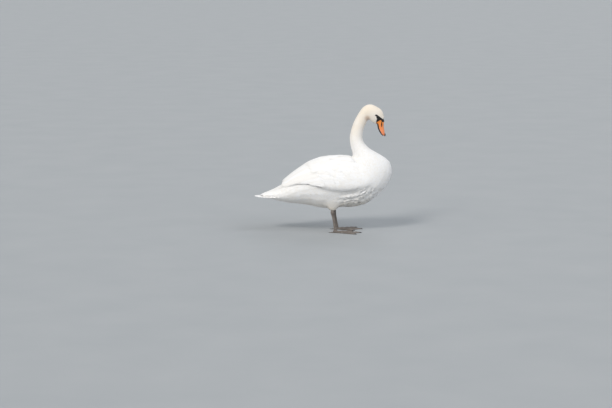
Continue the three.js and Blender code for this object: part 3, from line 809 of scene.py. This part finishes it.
# ---------------------------------------------------------------- Legs, webs and claws
# Bare legs and webbed feet of dark scaly skin. Plates cross the front of the leg and the top of each toe,
# and small round scales cover the rest. The claws are blunt dark horn.
LEG_VOXEL, LEG_SMOOTHING = 0.0012, 4
CLAW_VOXEL, CLAW_SMOOTHING = 0.0005, 3
PLATE = 0.0042  # from one plate of the leg to the next
PLATE_GROOVE = 0.0004
ANKLE, ANKLE_FADE = 0.018, 0.01  # the height where the foot ends, and over how much the leg begins
LEG_TO_HEEL = 0.016  # from the front of the leg to the middle of the fan of toes
HEEL_OUT = 0.062  # how far that is from the bird's middle
TOE_SIDE, SOLE = 0.0045, 0.0001  # plates lie above the first height, and nothing lies under the second
LEG_CLOUD = 1 / 55
SCALE = 1 / 430  # a small scale, a little more than two millimetres wide

# Scaly skin: half matt, dark grey brown in clouds, with darker seams between the scales.
scaly_skin, tree, shader = new_material("scaly_leg_skin")
place = add(tree, "ShaderNodeTexCoord").outputs["Object"]
skin_tone = clouded(tree, place, LEG_CLOUD, 5.0, "#625b57", "#a3988f")
scales = add(tree, "ShaderNodeTexVoronoi", {"Vector": place, "Scale": 1 / SCALE}).outputs["Distance"]
colour = add(
    tree, "ShaderNodeMix", {0: scales, 6: skin_tone, 7: linear("#4a4440")}, data_type="RGBA"
).outputs[2]
bump = add(
    tree, "ShaderNodeBump", {"Height": scales, "Distance": 0.0006, "Strength": 0.6}, invert=True
).outputs["Normal"]
feed(tree, shader, {"Base Color": colour, "Normal": bump, "Roughness": 0.52})

for side, name in ((1, "left"), (-1, "right")):
    rough = joined_copy(["shank_" + name, "foot_" + name], SWELL)
    leg = melted("leg_" + name, rough, LEG_VOXEL, LEG_SMOOTHING)
    points = points_of(leg.data)
    normals = normals_of(leg.data)
    # The plates lie where the skin faces forwards on the leg, and where it faces upwards on the toes.
    on_shank = np.clip((points[:, 2] - ANKLE) / ANKLE_FADE, 0, 1)
    front = np.clip(normals[:, 0] * 1.6, 0, 1) * on_shank
    heel_x = points[points[:, 2] > 0.03][:, 0].max() - LEG_TO_HEEL
    along_toe = np.hypot(points[:, 0] - heel_x, points[:, 1] - side * HEEL_OUT)
    top = np.clip((normals[:, 2] - 0.3) * 2, 0, 1) * (1 - on_shank) * (points[:, 2] > TOE_SIDE)
    count = np.where(on_shank > 0.5, points[:, 2], along_toe) / PLATE
    groove = np.clip(1 - np.abs((count % 1) - 0.5) * 5, 0, 1)
    points -= normals * (SWELL + PLATE_GROOVE * groove * np.maximum(front, top))[:, None]
    points[:, 2] = np.maximum(points[:, 2], SOLE)
    set_points(leg.data, points)
    wear(leg, scaly_skin)
    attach(leg, "root")
    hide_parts("shank_" + name, "foot_" + name)
    claw_nodes = ["claw_%s_%s" % (toe, name) for toe in ("inner", "middle", "outer", "hind")]
    claws = melted("claws_" + name, joined_copy(claw_nodes, 0.0), CLAW_VOXEL, CLAW_SMOOTHING)
    wear(claws, black_horn)
    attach(claws, "root")
    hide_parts(*claw_nodes)

# ---------------------------------------------------------------- Body feathers
# Small overlapping feathers that all lie from the bill towards the tail. Each is one thin closed vane with
# a low ridge along its middle, bent to the form under it. They are tiny on the face and largest on the body.
UNWRAP_PATCH = 0.003  # how large a feather is on the unwrap
UNWRAP_EDGES = (0.004, 0.996)
SETTLE = 3.2  # how soon a feather comes up from its root and then lies level
ROOT_SHARE = 0.9  # how far under the coat's top its root is, as a share of the coat
TIP_DROP = 0.11  # how far its tip bends down onto the next
TIP_FROM = 0.75  # where along the feather its tip begins
STACK = (-0.05, 0.02)  # how much lower or higher than its neighbours a tip may lie
STRAY = 0.12  # how far, in radians, feathers turn from the lie of the coat
FOLLOW = 0.4  # how soon a feather turns back to the lie
LEAST_BEND = 0.72  # the cosine of the sharpest turn that a feather takes
TRIES = 7  # for each feather that there is room for
rng = np.random.default_rng(7)

# The unwrap goes once round the body across, and from the bill to the tail along, with every part as long
# as it is round.
spine_steps = np.linalg.norm(np.diff(spine, axis=0), axis=1)
unwrap_along = np.concatenate([[0], np.cumsum(spine_steps / spine_values[1:, 5])])
unwrap_along = 0.01 + 0.98 * unwrap_along / unwrap_along[-1]


def on_unwrap(turn, place, across, along):
    """Feathers on the unwrap: a small patch each, at its root's turn round the spine and place along it."""
    u = np.clip(turn / math.tau + 0.5, *UNWRAP_EDGES)[:, None] + across * UNWRAP_PATCH
    v = np.interp(place, np.arange(len(spine)), unwrap_along)[:, None] + (along - 0.5) * UNWRAP_PATCH
    return np.stack([u, v], axis=2).reshape(-1, 2)


def on_lining(points):
    """The nearest places of the lining to some points, and the faces that they are on."""
    hits = [lining_tree.find_nearest(p) for p in points.tolist()]
    return np.array([h[0] for h in hits]), np.array([h[2] for h in hits])


def scatter(chosen, spacing):
    """Places spread evenly over the chosen faces of the lining, no closer than the faces' spacing."""
    faces = np.flatnonzero(chosen)
    share = face_area[faces] / spacing[faces] ** 2
    tries = int(share.sum() * TRIES)
    picked = rng.choice(faces, tries, p=share / share.sum())
    weights = rng.dirichlet((1, 1, 1), tries)
    quad = corners[picked]
    first_half = rng.random(tries) < 0.5
    triangle = np.where(first_half[:, None], quad[:, (0, 1, 2)], quad[:, (0, 2, 3)])
    points = (lining_points[triangle] * weights[:, :, None]).sum(axis=1)
    reach = spacing[picked]
    cell = reach.max()
    cells = np.floor(points / cell).astype(int).tolist()
    taken = {}
    kept = []
    around = [(i, j, k) for i in (-1, 0, 1) for j in (-1, 0, 1) for k in (-1, 0, 1)]
    for n, (x, y, z) in enumerate(points.tolist()):
        a, b, c = cells[n]
        limit = reach[n] ** 2
        beside = (point for i, j, k in around for point in taken.get((a + i, b + j, c + k), ()))
        if all((px - x) ** 2 + (py - y) ** 2 + (pz - z) ** 2 >= limit for px, py, pz in beside):
            taken.setdefault((a, b, c), []).append((x, y, z))
            kept.append(n)
    return points[kept], picked[kept]


def vane_template(stations):
    """A thin closed vane, from stations: a share of the length, a half width and a ridge's height."""
    verts, rings = [], []
    for k, (along, half, ridge) in enumerate(stations):
        first = len(verts)
        if half == 0:
            verts.append((k, along, 0.0, 0.0, 1))
            rings.append([first])
        else:
            verts += [(k, along, -half, 0.0, 1), (k, along, 0.0, ridge, 0), (k, along, half, 0.0, 1)]
            verts.append((k, along, 0.0, -0.25 * ridge, 0))
            rings.append([first, first + 1, first + 2, first + 3])
    faces = []
    for one, two in zip(rings, rings[1:]):
        for i in range(4):
            a, b = one[i % len(one)], one[(i + 1) % len(one)]
            c, d = two[i % len(two)], two[(i + 1) % len(two)]
            if a != b:
                faces.append((b, a, c))
            if c != d:
                faces.append((d, b, c))
    table = np.array([v[:4] for v in verts])
    return {
        "station": table[:, 0].astype(int),
        "along": table[:, 1],
        "across": table[:, 2],
        "up": table[:, 3],
        "rim": np.array([v[4] for v in verts], dtype=bool),
        "faces": np.array(faces),
        "steps": np.array([s[0] for s in stations]),
    }


SMALL_VANE = vane_template([
    (0, 0, 0), (0.36, 0.46, 0.06), (0.72, 0.46, 0.04), (0.92, 0.26, 0.02), (1, 0, 0),
])
BODY_VANE = vane_template([
    (0, 0, 0), (0.28, 0.36, 0.05), (0.58, 0.5, 0.045), (0.78, 0.46, 0.035),
    (0.9, 0.34, 0.025), (0.97, 0.18, 0.012), (1, 0, 0),
])

# Feather: matt and soft, with a faint sheen from its barbs. Real barbs are about a third of a millimetre
# apart, too fine to show, so they are drawn as coarse as this.
BARB = 0.0011
BARB_SLANT = 1.1
feather, tree, shader = new_material("white_feather")
place = add(tree, "ShaderNodeTexCoord").outputs["Object"]
base = plumage_colour(tree, place)
own = add(tree, "ShaderNodeAttribute", attribute_name="tone").outputs["Fac"]
colour = add(tree, "ShaderNodeMix", {0: own, 6: base, 7: linear("#e6e1d8")}, data_type="RGBA").outputs[2]
# The barbs run out and forward from the shaft on both sides. The vane's map is in metres.
vane_map = add(tree, "ShaderNodeUVMap", uv_map="Vane").outputs["UV"]
vane = add(tree, "ShaderNodeSeparateXYZ", {"Vector": vane_map}).outputs
from_shaft = add(tree, "ShaderNodeMath", {0: vane["X"], 1: 0.0}, operation="ABSOLUTE").outputs[0]
slant = add(
    tree, "ShaderNodeMath", {0: from_shaft, 1: -BARB_SLANT, 2: vane["Y"]}, operation="MULTIPLY_ADD"
).outputs[0]
barb = add(tree, "ShaderNodeMath", {0: slant, 1: math.tau / BARB}, operation="MULTIPLY").outputs[0]
barbs = add(tree, "ShaderNodeMath", {0: barb}, operation="SINE").outputs[0]
bump = add(tree, "ShaderNodeBump", {"Height": barbs, "Distance": 0.00004, "Strength": 0.6}).outputs["Normal"]
feed(tree, shader, {"Base Color": colour, "Normal": bump, "Roughness": 0.7})
feed(tree, shader, {"Sheen Weight": 0.15, "Sheen Roughness": 0.5})


def feather_piece(name, verts, faces, rims, unwrap, vane_uv, tones, nodes=()):
    """One object of many vanes, from arrays of their corners, with the unwrap and each vane's own map."""
    data = bpy.data.meshes.new(name)
    data.vertices.add(len(verts))
    data.vertices.foreach_set("co", verts.ravel())
    data.loops.add(faces.size)
    data.loops.foreach_set("vertex_index", faces.ravel().astype(np.int32))
    data.polygons.add(len(faces))
    data.polygons.foreach_set("loop_start", np.arange(0, faces.size, 3, dtype=np.int32))
    data.update(calc_edges=True)
    data.shade_smooth()
    sharp = rims[edge_pairs(data)].all(axis=1)
    data.attributes.new("sharp_edge", "BOOLEAN", "EDGE").data.foreach_set("value", sharp)
    for map_name, values in (("OFBake", unwrap), ("Vane", vane_uv)):
        layer = data.uv_layers.new(name=map_name)
        layer.data.foreach_set("uv", values[faces.ravel()].ravel().astype(np.float32))
    set_attribute(data, "tone", tones)
    data.materials.append(feather)
    data.validate()
    piece = placed(name, data)
    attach(piece, "root")
    if nodes:
        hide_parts(*nodes)


def lay_feathers(name, roots, faces, length, width, radius, rise, template):
    """Lays a vane from each root along the lie, bent to the lining, with its tip at the coat's top."""
    steps = template["steps"]
    way = face_way[faces]
    normal = face_normals[faces]
    spin = rng.normal(0, STRAY, len(roots))[:, None]
    way = unit(way * np.cos(spin) + np.cross(normal, way) * np.sin(spin))
    places, normals, ways = [roots], [normal], [way]
    coats = [face_coat[faces]]
    for a, b in zip(steps, steps[1:]):
        reach = places[-1] + ways[-1] * (length * (b - a))[:, None]
        here, on = on_lining(reach)
        normal = face_normals[on]
        follow = ways[-1] * (1 - FOLLOW) + face_way[on] * FOLLOW
        follow = follow - normal * (follow * normal).sum(axis=1, keepdims=True)
        places.append(here)
        normals.append(normal)
        ways.append(unit(follow))
        coats.append(face_coat[on])
    places, normals, ways = (np.stack(part, axis=1) for part in (places, normals, ways))
    coats = np.stack(coats, axis=1)
    # Where the form turns sharply a feather would be creased, so none lies there.
    bend = (normals[:, 1:] * normals[:, :-1]).sum(axis=2).min(axis=1)
    whole = bend > LEAST_BEND
    places, normals, ways, coats = (part[whole] for part in (places, normals, ways, coats))
    faces, length, width, radius, rise = (part[whole] for part in (faces, length, width, radius, rise))
    count = len(faces)
    k = template["station"]
    along, across, up = template["along"], template["across"], template["up"]
    # From a little under the lining at the root up to the top of the coat at the tip.
    top = rise[:, None] * coats[:, k]
    stack = rng.uniform(*STACK, (count, 1))
    drop = TIP_DROP * np.clip((along - TIP_FROM) / (1 - TIP_FROM), 0, 1) ** 2
    height = top * (1 - ROOT_SHARE * (1 - along) ** SETTLE - drop + stack * along)
    side = np.cross(normals, ways)[:, k]
    wide = (width[:, None] * across)[..., None]
    fall = (width[:, None] * across) ** 2 / (2 * radius[:, None])
    lifted = (height + width[:, None] * up - fall)[..., None]
    verts = places[:, k] + side * wide + normals[:, k] * lifted
    total = len(k)
    offsets = (np.arange(count) * total)[:, None, None]
    all_faces = (template["faces"][None] + offsets).reshape(-1, 3)
    unwrap = on_unwrap(face_turn[faces], face_place[faces], across, along)
    vane_uv = np.stack([width[:, None] * across, length[:, None] * along], axis=2).reshape(-1, 2)
    tones = np.repeat(rng.uniform(0, 0.5, count), total)
    rims = np.tile(template["rim"], count)
    feather_piece(name, verts.reshape(-1, 3), all_faces, rims, unwrap, vane_uv, tones)


# The lower edge and the top of a folded wing, from the tips to the bend, seen from the side.
WING_LOWER_EDGE = np.array([
    (-0.330, 0.212), (-0.236, 0.250), (-0.200, 0.268), (-0.137, 0.285), (-0.060, 0.280),
    (0.000, 0.272), (0.060, 0.272), (0.120, 0.284), (0.205, 0.310),
])
WING_TOP = np.array([
    (-0.330, 0.260), (-0.236, 0.300), (-0.181, 0.330), (-0.071, 0.404), (0.038, 0.431), (0.146, 0.431),
    (0.205, 0.400),
])
COVERTS_START = 0.205
CHIN_LEVEL = 0.58
EYE_BARE = 0.0061  # no feather stands this close to the middle of the eye
EYE_PARTING = (0.006, 0.015)  # the lie runs round the eye within the first, and as elsewhere past the second
# Which faces of the lining are bare, and which are on the wings.
face_parted = np.zeros(len(face_points))
bare = edge_distance(face_points[:, 0], face_points[:, 2], LORES) > -0.0005
bare &= face_points[:, 2] > CHIN_LEVEL
for side, middle in eye_middles.items():
    toward = (np.array(middle) - face_points) * (1, 0, 1)
    near = np.linalg.norm(toward, axis=1)
    on_side = face_points[:, 1] * side > 0.008
    bare |= (near < EYE_BARE) & on_side
    parted = np.interp(near, EYE_PARTING, (1, 0)) * on_side
    toward = unit(toward)
    into = np.maximum((face_way * toward).sum(axis=1), 0)
    face_way = face_way - toward * (into * parted)[:, None]
    face_parted = np.maximum(face_parted, parted)
face_way = unit(face_way - face_normals * (face_way * face_normals).sum(axis=1, keepdims=True))
side_x, side_z = face_points[:, 0], face_points[:, 2]
edge_z = np.interp(side_x, *WING_LOWER_EDGE.T)
under_edge = np.interp(side_x, (-0.02, 0.03), (0.012, 0.004))  # how far the lowest feathers reach under it
on_wing = (side_x > WING_LOWER_EDGE[0, 0]) & (side_x < COVERTS_START) & (side_z > edge_z - under_edge)
on_wing &= side_z < np.interp(side_x, *WING_TOP.T)
# Over the rump the small feathers run on under the wings' last ones. They rise to their whole height behind
# them, and are short on the flesh that carries those last ones.
RUMP_RISE_X, RUMP_RISE = (-0.262, -0.240), (0.80, 0.42)
LAST_ROW_X = -0.180
SHORT_FROM, SHORT_TO = -0.245, -0.190
face_rise = np.where(on_wing, np.interp(side_x, RUMP_RISE_X, RUMP_RISE), 1.0)
on_wing &= side_x > LAST_ROW_X
face_short = (side_x > SHORT_FROM) & (side_x < SHORT_TO) & (over_rump(face_points) > 0.003)
# Where the neck and shoulder feathers end on the wings' first rows, their tips lie low.
LOW_REACH, LOW_SHARE = 0.024, 0.45
SHOULDER_X, SHOULDER_Z = 0.06, 0.29  # the shoulder lies ahead of the first and over the second
past_wing = np.maximum(side_x - COVERTS_START, side_z - np.interp(side_x, *WING_TOP.T))
at_shoulder = (side_x > SHOULDER_X) & (side_z > SHOULDER_Z)
near_wing = np.clip(1 - np.abs(past_wing) / LOW_REACH, 0, 1) * at_shoulder
face_rise = face_rise * np.where(on_wing, 1, 1 - LOW_SHARE * near_wing)

at_landmark = face_place / SPINE_STEPS
COAT_END = -0.292  # the coat's last roots on the tail
TRACTS = {
    # name: first and last landmark, spacing as a share of the width, vane
    "coat_face": (0.0, 1.5, 0.385, SMALL_VANE),
    "coat_cheek": (1.5, 2.3, 0.39, SMALL_VANE),
    "coat_crown": (2.3, 3.4, 0.39, SMALL_VANE),
    "coat_upper_neck": (3.4, 5.0, 0.33, SMALL_VANE),
    "coat_middle_neck": (5.0, 6.3, 0.31, SMALL_VANE),
    "coat_lower_neck": (6.3, 7.6, 0.31, BODY_VANE),
    "coat_breast": (7.6, 9.4, 0.315, BODY_VANE),
    "coat_belly": (9.4, 11.6, 0.31, BODY_VANE),
    "coat_rump": (11.6, 14.0, 0.31, BODY_VANE),
}
for name, (first, last, spacing, template) in TRACTS.items():
    chosen = (at_landmark >= first) & (at_landmark < last) & ~bare & ~on_wing & (side_x > COAT_END)
    roots, faces = scatter(chosen, face_values[:, 2] * spacing)
    length, width, radius = face_values[faces, 1:4].T
    scale = rng.uniform(0.88, 1.12, len(faces))
    scale = scale * (1 - 0.25 * face_parted[faces]) * (1 - 0.5 * face_short[faces])
    rise = face_rise[faces] + face_ruffle[faces] * rng.uniform(-0.25, 0.55, len(faces))
    lay_feathers(name, roots, faces, length * scale, width * scale, radius, rise, template)

# ---------------------------------------------------------------- Folded wings
# Rows of feathers over the outer face of the wings, each row under the one before it: long primaries and
# secondaries below, then the tertials over the rump, then the coverts, and the scapulars over the back.
TIP_SINK = 0.0022  # how far the tip of a broad feather bends down onto the next
ROOT_SINK = 0.004  # how deep its root lies
VANE_THICK = 0.0004
SHAFT_HIGH, SHAFT_WIDE = 0.0003, 0.09  # how far the shaft stands up, and its share of the vane's half width
ROOT_LONG, ROOT_WIDE = 0.35, 0.25  # how far the root reaches along it, and how wide it begins, as shares
WIDTH_VARIES, HEIGHT_VARIES = (0.93, 1.07), 0.0003
TIP_CUT = 0.985  # the very tip is cut off there, a closed edge


def broad_outline(along, blunt):
    """Half widths along a long feather, as shares of its widest: narrow at the root, with a round tip."""
    root = np.clip(along / ROOT_LONG, 0, 1) ** 0.7 * (1 - ROOT_WIDE) + ROOT_WIDE
    tip = np.sqrt(np.clip(1 - (np.clip((along - blunt) / (1 - blunt), 0, 1)) ** 2.2, 0, 1))
    return root * tip


ROW_VALUES = ("root_x", "root_turn", "tip_x", "tip_turn", "width", "height")


def row_table(rows):
    """What each feather of some rows has, from what the first and the last one of its row have."""
    table = []
    for row in rows:
        ends = np.array([row[key] for key in ROW_VALUES])
        share = (np.arange(row["count"]) + (0.5 if row.get("odd") else 0.0)) / max(row["count"] - 1, 1)
        table.append(ends[:, 0] + (ends[:, 1] - ends[:, 0]) * share[:, None])
    return np.concatenate(table)


def broad_vane(steps, stripes):
    """The triangles of a broad feather's two sheets, which share their long edges, and its rims."""
    upper = np.arange(steps * stripes).reshape(steps, stripes)
    under = upper + steps * stripes
    under[:, (0, -1)] = upper[:, (0, -1)]
    faces = []
    for sheet, flip in ((upper, False), (under, True)):
        corners_of = (sheet[:-1, :-1], sheet[:-1, 1:], sheet[1:, 1:], sheet[1:, :-1])
        quads = np.stack(corners_of, axis=-1).reshape(-1, 4)
        triangles = np.concatenate([quads[:, (0, 1, 2)], quads[:, (0, 2, 3)]])
        faces.append(triangles[:, ::-1] if flip else triangles)
    for line, flip in ((0, False), (-1, True)):  # closes the root and the tip
        for i in range(stripes - 1):
            a1, b1, a2, b2 = *upper[line, i : i + 2], *under[line, i : i + 2]
            closing = [t for t in ((a1, a2, b1), (b1, a2, b2)) if len(set(t)) == 3]
            faces.append(np.array([t[::-1] if flip else t for t in closing]))
    rim = np.zeros(2 * steps * stripes, dtype=bool)
    for line in (upper[:, (0, -1)], upper[-1], under[-1]):
        rim[line] = True
    return np.concatenate(faces), rim


def broad_feathers(
    name, rows, face=wing_face, nodes=(), grid=(14, 7), seed=0, loose=0.0025, cup=0.0012, tilt=0.0010,
    blunt=0.72, sway=0.012, sink=TIP_SINK,
):
    """Lays rows of broad feathers on both sides, each row from its top or middle feather outwards.

    They stray by loose along the bird and by sway round it. cup is how far the edges of a feather bend
    down, tilt how far its outer edge stands over its middle, and sink how far its tip bends down onto the
    next. Its sides run in to the tip from blunt on, a share of its length.
    """
    draw = np.random.default_rng(seed)
    along = TIP_CUT * np.linspace(0, 1, grid[0]) ** 0.85
    across = np.linspace(-1, 1, grid[1])
    t, a = along[None, :, None], across[None, None, :]
    flat_t = np.tile(np.repeat(along, grid[1]), 2)
    flat_a = np.tile(across, 2 * grid[0])
    vane_faces, rim = broad_vane(*grid)
    halves = []
    for side in (1, -1):
        table = row_table(rows)
        count = len(table)
        table[:, (0, 2)] += draw.normal(0, loose, (count, 2))
        table[:, (1, 3)] += draw.normal(0, sway, (count, 2))
        table[:, 4] *= draw.uniform(*WIDTH_VARIES, count)
        table[:, 5] += draw.uniform(-HEIGHT_VARIES, HEIGHT_VARIES, count)
        root_x, root_turn, tip_x, tip_turn, width, height = (c[:, None, None] for c in table.T)
        x = root_x + (tip_x - root_x) * t + 0 * a
        turn = root_turn + (tip_turn - root_turn) * t + 0 * a
        nudge = 0.001
        pace = np.linalg.norm(face(x, turn + nudge) - face(x, turn - nudge), axis=-1) / (2 * nudge)
        ragged = 1 - draw.uniform(0, 0.05, (count, grid[0], 1)) * (t > 0.4)
        half = width / 2 * broad_outline(t, blunt) * ragged
        turn = turn + a * half / np.maximum(pace, 0.02)
        # The tip is round: its edges end before its middle.
        x = x + (0.12 * width) * a**2 * (t > 0.3) * t**3
        point = face(x, turn)
        along_face = face(x + nudge, turn) - face(x - nudge, turn)
        round_face = face(x, turn + nudge) - face(x, turn - nudge)
        normal = unit(np.cross(along_face, round_face))
        flat = 1 - 0.75 * np.clip((t - 0.5) / 0.5, 0, 1) ** 2
        level = height - ROOT_SINK * (1 - t) ** 2 + tilt * a * flat - cup * a**2 * flat
        level = level - sink * np.clip((t - 0.8) / 0.2, 0, 1) ** 2
        shaft = SHAFT_HIGH * np.exp(-((a / SHAFT_WIDE) ** 2)) * (1 - 0.7 * t)
        thick = VANE_THICK * np.sqrt(np.clip(1 - a**2, 0, 1)) + shaft
        thick = thick * np.sqrt(np.clip(1 - t**6, 0, 1))  # closes the tip
        upper = point + normal * (level + thick)[..., None]
        lower = point + normal * (level - 0.6 * thick)[..., None]
        verts = np.concatenate([upper.reshape(count, -1, 3), lower.reshape(count, -1, 3)], axis=1)
        verts[..., 1] *= side
        _, _, place_at, turn_at = beside_spine(upper[:, 0, grid[1] // 2] * (1, side, 1))
        long = np.linalg.norm(face(tip_x, tip_turn) - face(root_x, root_turn), axis=-1)[:, 0]
        first_corners = (np.arange(count) + (0 if side > 0 else count)) * len(rim)
        halves.append((
            verts.reshape(-1, 3),
            (vane_faces[:, ::side] + first_corners[:, None, None]).reshape(-1, 3),
            np.tile(rim, count),
            on_unwrap(turn_at, place_at, flat_a / 2, flat_t),
            np.stack([table[:, 4:5] / 2 * flat_a, long * flat_t], axis=2).reshape(-1, 2),
            np.repeat(draw.uniform(0, 0.4, count), len(rim)),
        ))
    verts, faces, *others = (np.concatenate(part) for part in zip(*halves))
    used, faces = np.unique(faces, return_inverse=True)
    feather_piece(name, verts[used], faces.reshape(-1, 3), *(part[used] for part in others), nodes=nodes)


# Rows of feathers. A pair says what the first and the last feather of a row have: where its root and its tip
# are along the bird, and round it (0 is the middle of the back and 1 the wing's lower edge), how wide it is,
# and how high it lies over the wings' face. Feathers of an odd row lie between those of the next row.
PRIMARIES = [
    dict(count=6, root_x=(0.02, 0.04), root_turn=(0.86, 0.92), tip_x=(-0.292, -0.232),
         tip_turn=(0.82, 0.92), width=(0.021, 0.030), height=(-0.0044, -0.0054)),
]
SECONDARIES = [
    dict(count=11, root_x=(-0.03, 0.09), root_turn=(0.66, 0.93), tip_x=(-0.224, -0.075),
         tip_turn=(0.84, 0.93), width=(0.036, 0.034), height=(-0.0034, -0.0050)),
]
RUMP = [
    dict(count=6, odd=n == 1, root_x=(-0.13 - 0.027 * n, -0.13 - 0.027 * n), root_turn=(-0.08, 0.86),
         tip_x=(-0.195 - 0.027 * n, -0.190 - 0.027 * n), tip_turn=(-0.08, 0.98), width=(0.034, 0.030),
         height=(-0.0052 - 0.0006 * n, -0.0066 - 0.0004 * n))
    for n in (1, 0)
]
TERTIALS = [
    dict(count=6, root_x=(-0.02, 0.01), root_turn=(0.07, 0.70), tip_x=(-0.2240, -0.231),
         tip_turn=(0.12, 0.90), width=(0.050, 0.040), height=(-0.0012, -0.0026)),
]
GREATER_COVERTS = [
    dict(count=11, root_x=(0.03, 0.12), root_turn=(0.34, 0.93), tip_x=(-0.085, 0.010),
         tip_turn=(0.42, 0.93), width=(0.036, 0.030), height=(-0.0021, -0.0038)),
]
MEDIAN_COVERTS = [
    dict(count=10, odd=True, root_x=(0.080, 0.150), root_turn=(0.34, 0.92), tip_x=(-0.015, 0.064),
         tip_turn=(0.38, 0.92), width=(0.034, 0.028), height=(-0.0017, -0.0030)),
    dict(count=11, root_x=(0.110, 0.175), root_turn=(0.34, 0.93), tip_x=(0.028, 0.098),
         tip_turn=(0.36, 0.93), width=(0.032, 0.025), height=(-0.0013, -0.0025)),
]
LESSER_COVERTS = [
    dict(count=12 + n, odd=n % 2 == 1, root_x=(0.135 + 0.019 * n, 0.186 + 0.011 * n),
         root_turn=(0.34, 0.93 - 0.012 * n), tip_x=(0.068 + 0.022 * n, 0.128 + 0.015 * n),
         tip_turn=(0.35, 0.93 - 0.010 * n),
         width=(0.028 - 0.0014 * n, 0.022 - 0.001 * n), height=(-0.0010, -0.0020))
    for n in range(5)
]
SCAPULARS = [
    dict(count=6 + n // 2, odd=n % 2 == 1, root_x=(0.000 + 0.026 * n, 0.030 + 0.022 * n),
         root_turn=(-0.03, 0.48 - 0.008 * n), tip_x=(-0.118 + 0.031 * n, -0.066 + 0.028 * n),
         tip_turn=(-0.03, 0.60 - 0.014 * n), width=(0.042 - 0.0026 * n, 0.038 - 0.0022 * n),
         height=(-0.0005, -0.0012))
    for n in range(8)
]
# The tips of the tertials stand up, clear of the rump.
wing_tips = ("wing_tip_left", "wing_tip_right")
broad_feathers("primaries", PRIMARIES, rump_face, wing_tips, grid=(22, 7), seed=11, blunt=0.86, sink=0.0006)
broad_feathers("secondaries", SECONDARIES, grid=(20, 7), seed=12, blunt=0.84)
broad_feathers("rump", RUMP, rump_face, grid=(12, 7), seed=18, loose=0.005)
broad_feathers("tertials", TERTIALS, grid=(20, 9), seed=13, loose=0.0014, blunt=0.80, sink=-TIP_SINK)
broad_feathers("greater_coverts", GREATER_COVERTS, grid=(14, 7), seed=14, loose=0.007, blunt=0.74)
broad_feathers("median_coverts", MEDIAN_COVERTS, grid=(12, 7), seed=15, loose=0.007)
broad_feathers("lesser_coverts", LESSER_COVERTS, grid=(10, 7), seed=16, loose=0.006)
broad_feathers("scapulars", SCAPULARS, grid=(12, 9), seed=17, loose=0.007)

# ---------------------------------------------------------------- Tail
# Eleven stiff feathers a side, like a half open fan with a blunt point: the middle ones are the longest
# and lie on top. Soft coverts hide their roots above, and the coat of the rump does so below.
def fan_face(line, crown, half_width):
    """The roof of a half open fan, from its middle line and how far it hangs at its half width."""

    def face(x, across):
        """Points of the fan on the left side, at x and at a distance from the middle."""
        height = np.interp(x, *line.T) - crown * (across / half_width) ** 2
        return np.stack([x + 0 * across, across + 0 * x, height], axis=-1)

    return face


TAIL_LINE = np.array([
    (-0.380, 0.1965), (-0.345, 0.1990), (-0.300, 0.2030), (-0.243, 0.2080), (-0.150, 0.2180),
])
TAIL_CROWN, TAIL_HALF_WIDTH = 0.008, 0.075
# How far out from the middle the tips are.
RECTRIX_TIPS = (0.004, 0.011, 0.019, 0.027, 0.035, 0.042, 0.048, 0.054, 0.060, 0.065, 0.068)
# On the tail a turn is a distance from the middle, and each row is one feather on each side.
RECTRICES = [
    dict(count=1, root_x=(-0.20, -0.20), root_turn=(0.002 + 0.0046 * n, 0), tip_turn=(tip_y, 0),
         tip_x=(-0.3785 + 0.00125 * n**2, 0), width=(0.027, 0), height=(0.0016 - 0.0005 * n, 0))
    for n, tip_y in enumerate(RECTRIX_TIPS)
]
tail_face = fan_face(TAIL_LINE, TAIL_CROWN, TAIL_HALF_WIDTH)
broad_feathers(
    "rectrices", RECTRICES[::-1], tail_face, grid=(20, 7), seed=21, loose=0.0012, cup=0.0009,
    tilt=-0.0007, blunt=0.84, sway=0.0006, sink=0.0006,
)

# The upper coverts lie on the roots of the tail, from the rump down to two thirds of its length.
COVERT_LINE = np.array([
    (-0.356, 0.2015), (-0.330, 0.2070), (-0.310, 0.2125), (-0.290, 0.2195), (-0.262, 0.2290),
    (-0.230, 0.2400),
])
COVERT_CROWN, COVERT_HALF_WIDTH = 0.011, 0.06
UPPER_COVERTS = [
    dict(count=6, odd=n % 2 == 1, root_x=(-0.240 - 0.012 * n, -0.236 - 0.012 * n), root_turn=(0.0, 0.040),
         tip_x=(-0.320 - 0.015 * n, -0.296 - 0.015 * n), tip_turn=(0.0, 0.050), width=(0.024, 0.022),
         height=(-0.0003 - 0.0012 * n, -0.0006 - 0.0012 * n))
    for n in (2, 1, 0)
]
covert_face = fan_face(COVERT_LINE, COVERT_CROWN, COVERT_HALF_WIDTH)
broad_feathers(
    "upper_tail_coverts", UPPER_COVERTS, covert_face, grid=(12, 7), seed=23, loose=0.004, cup=0.0009,
    tilt=-0.0005, blunt=0.74, sway=0.0008, sink=0.0012,
)
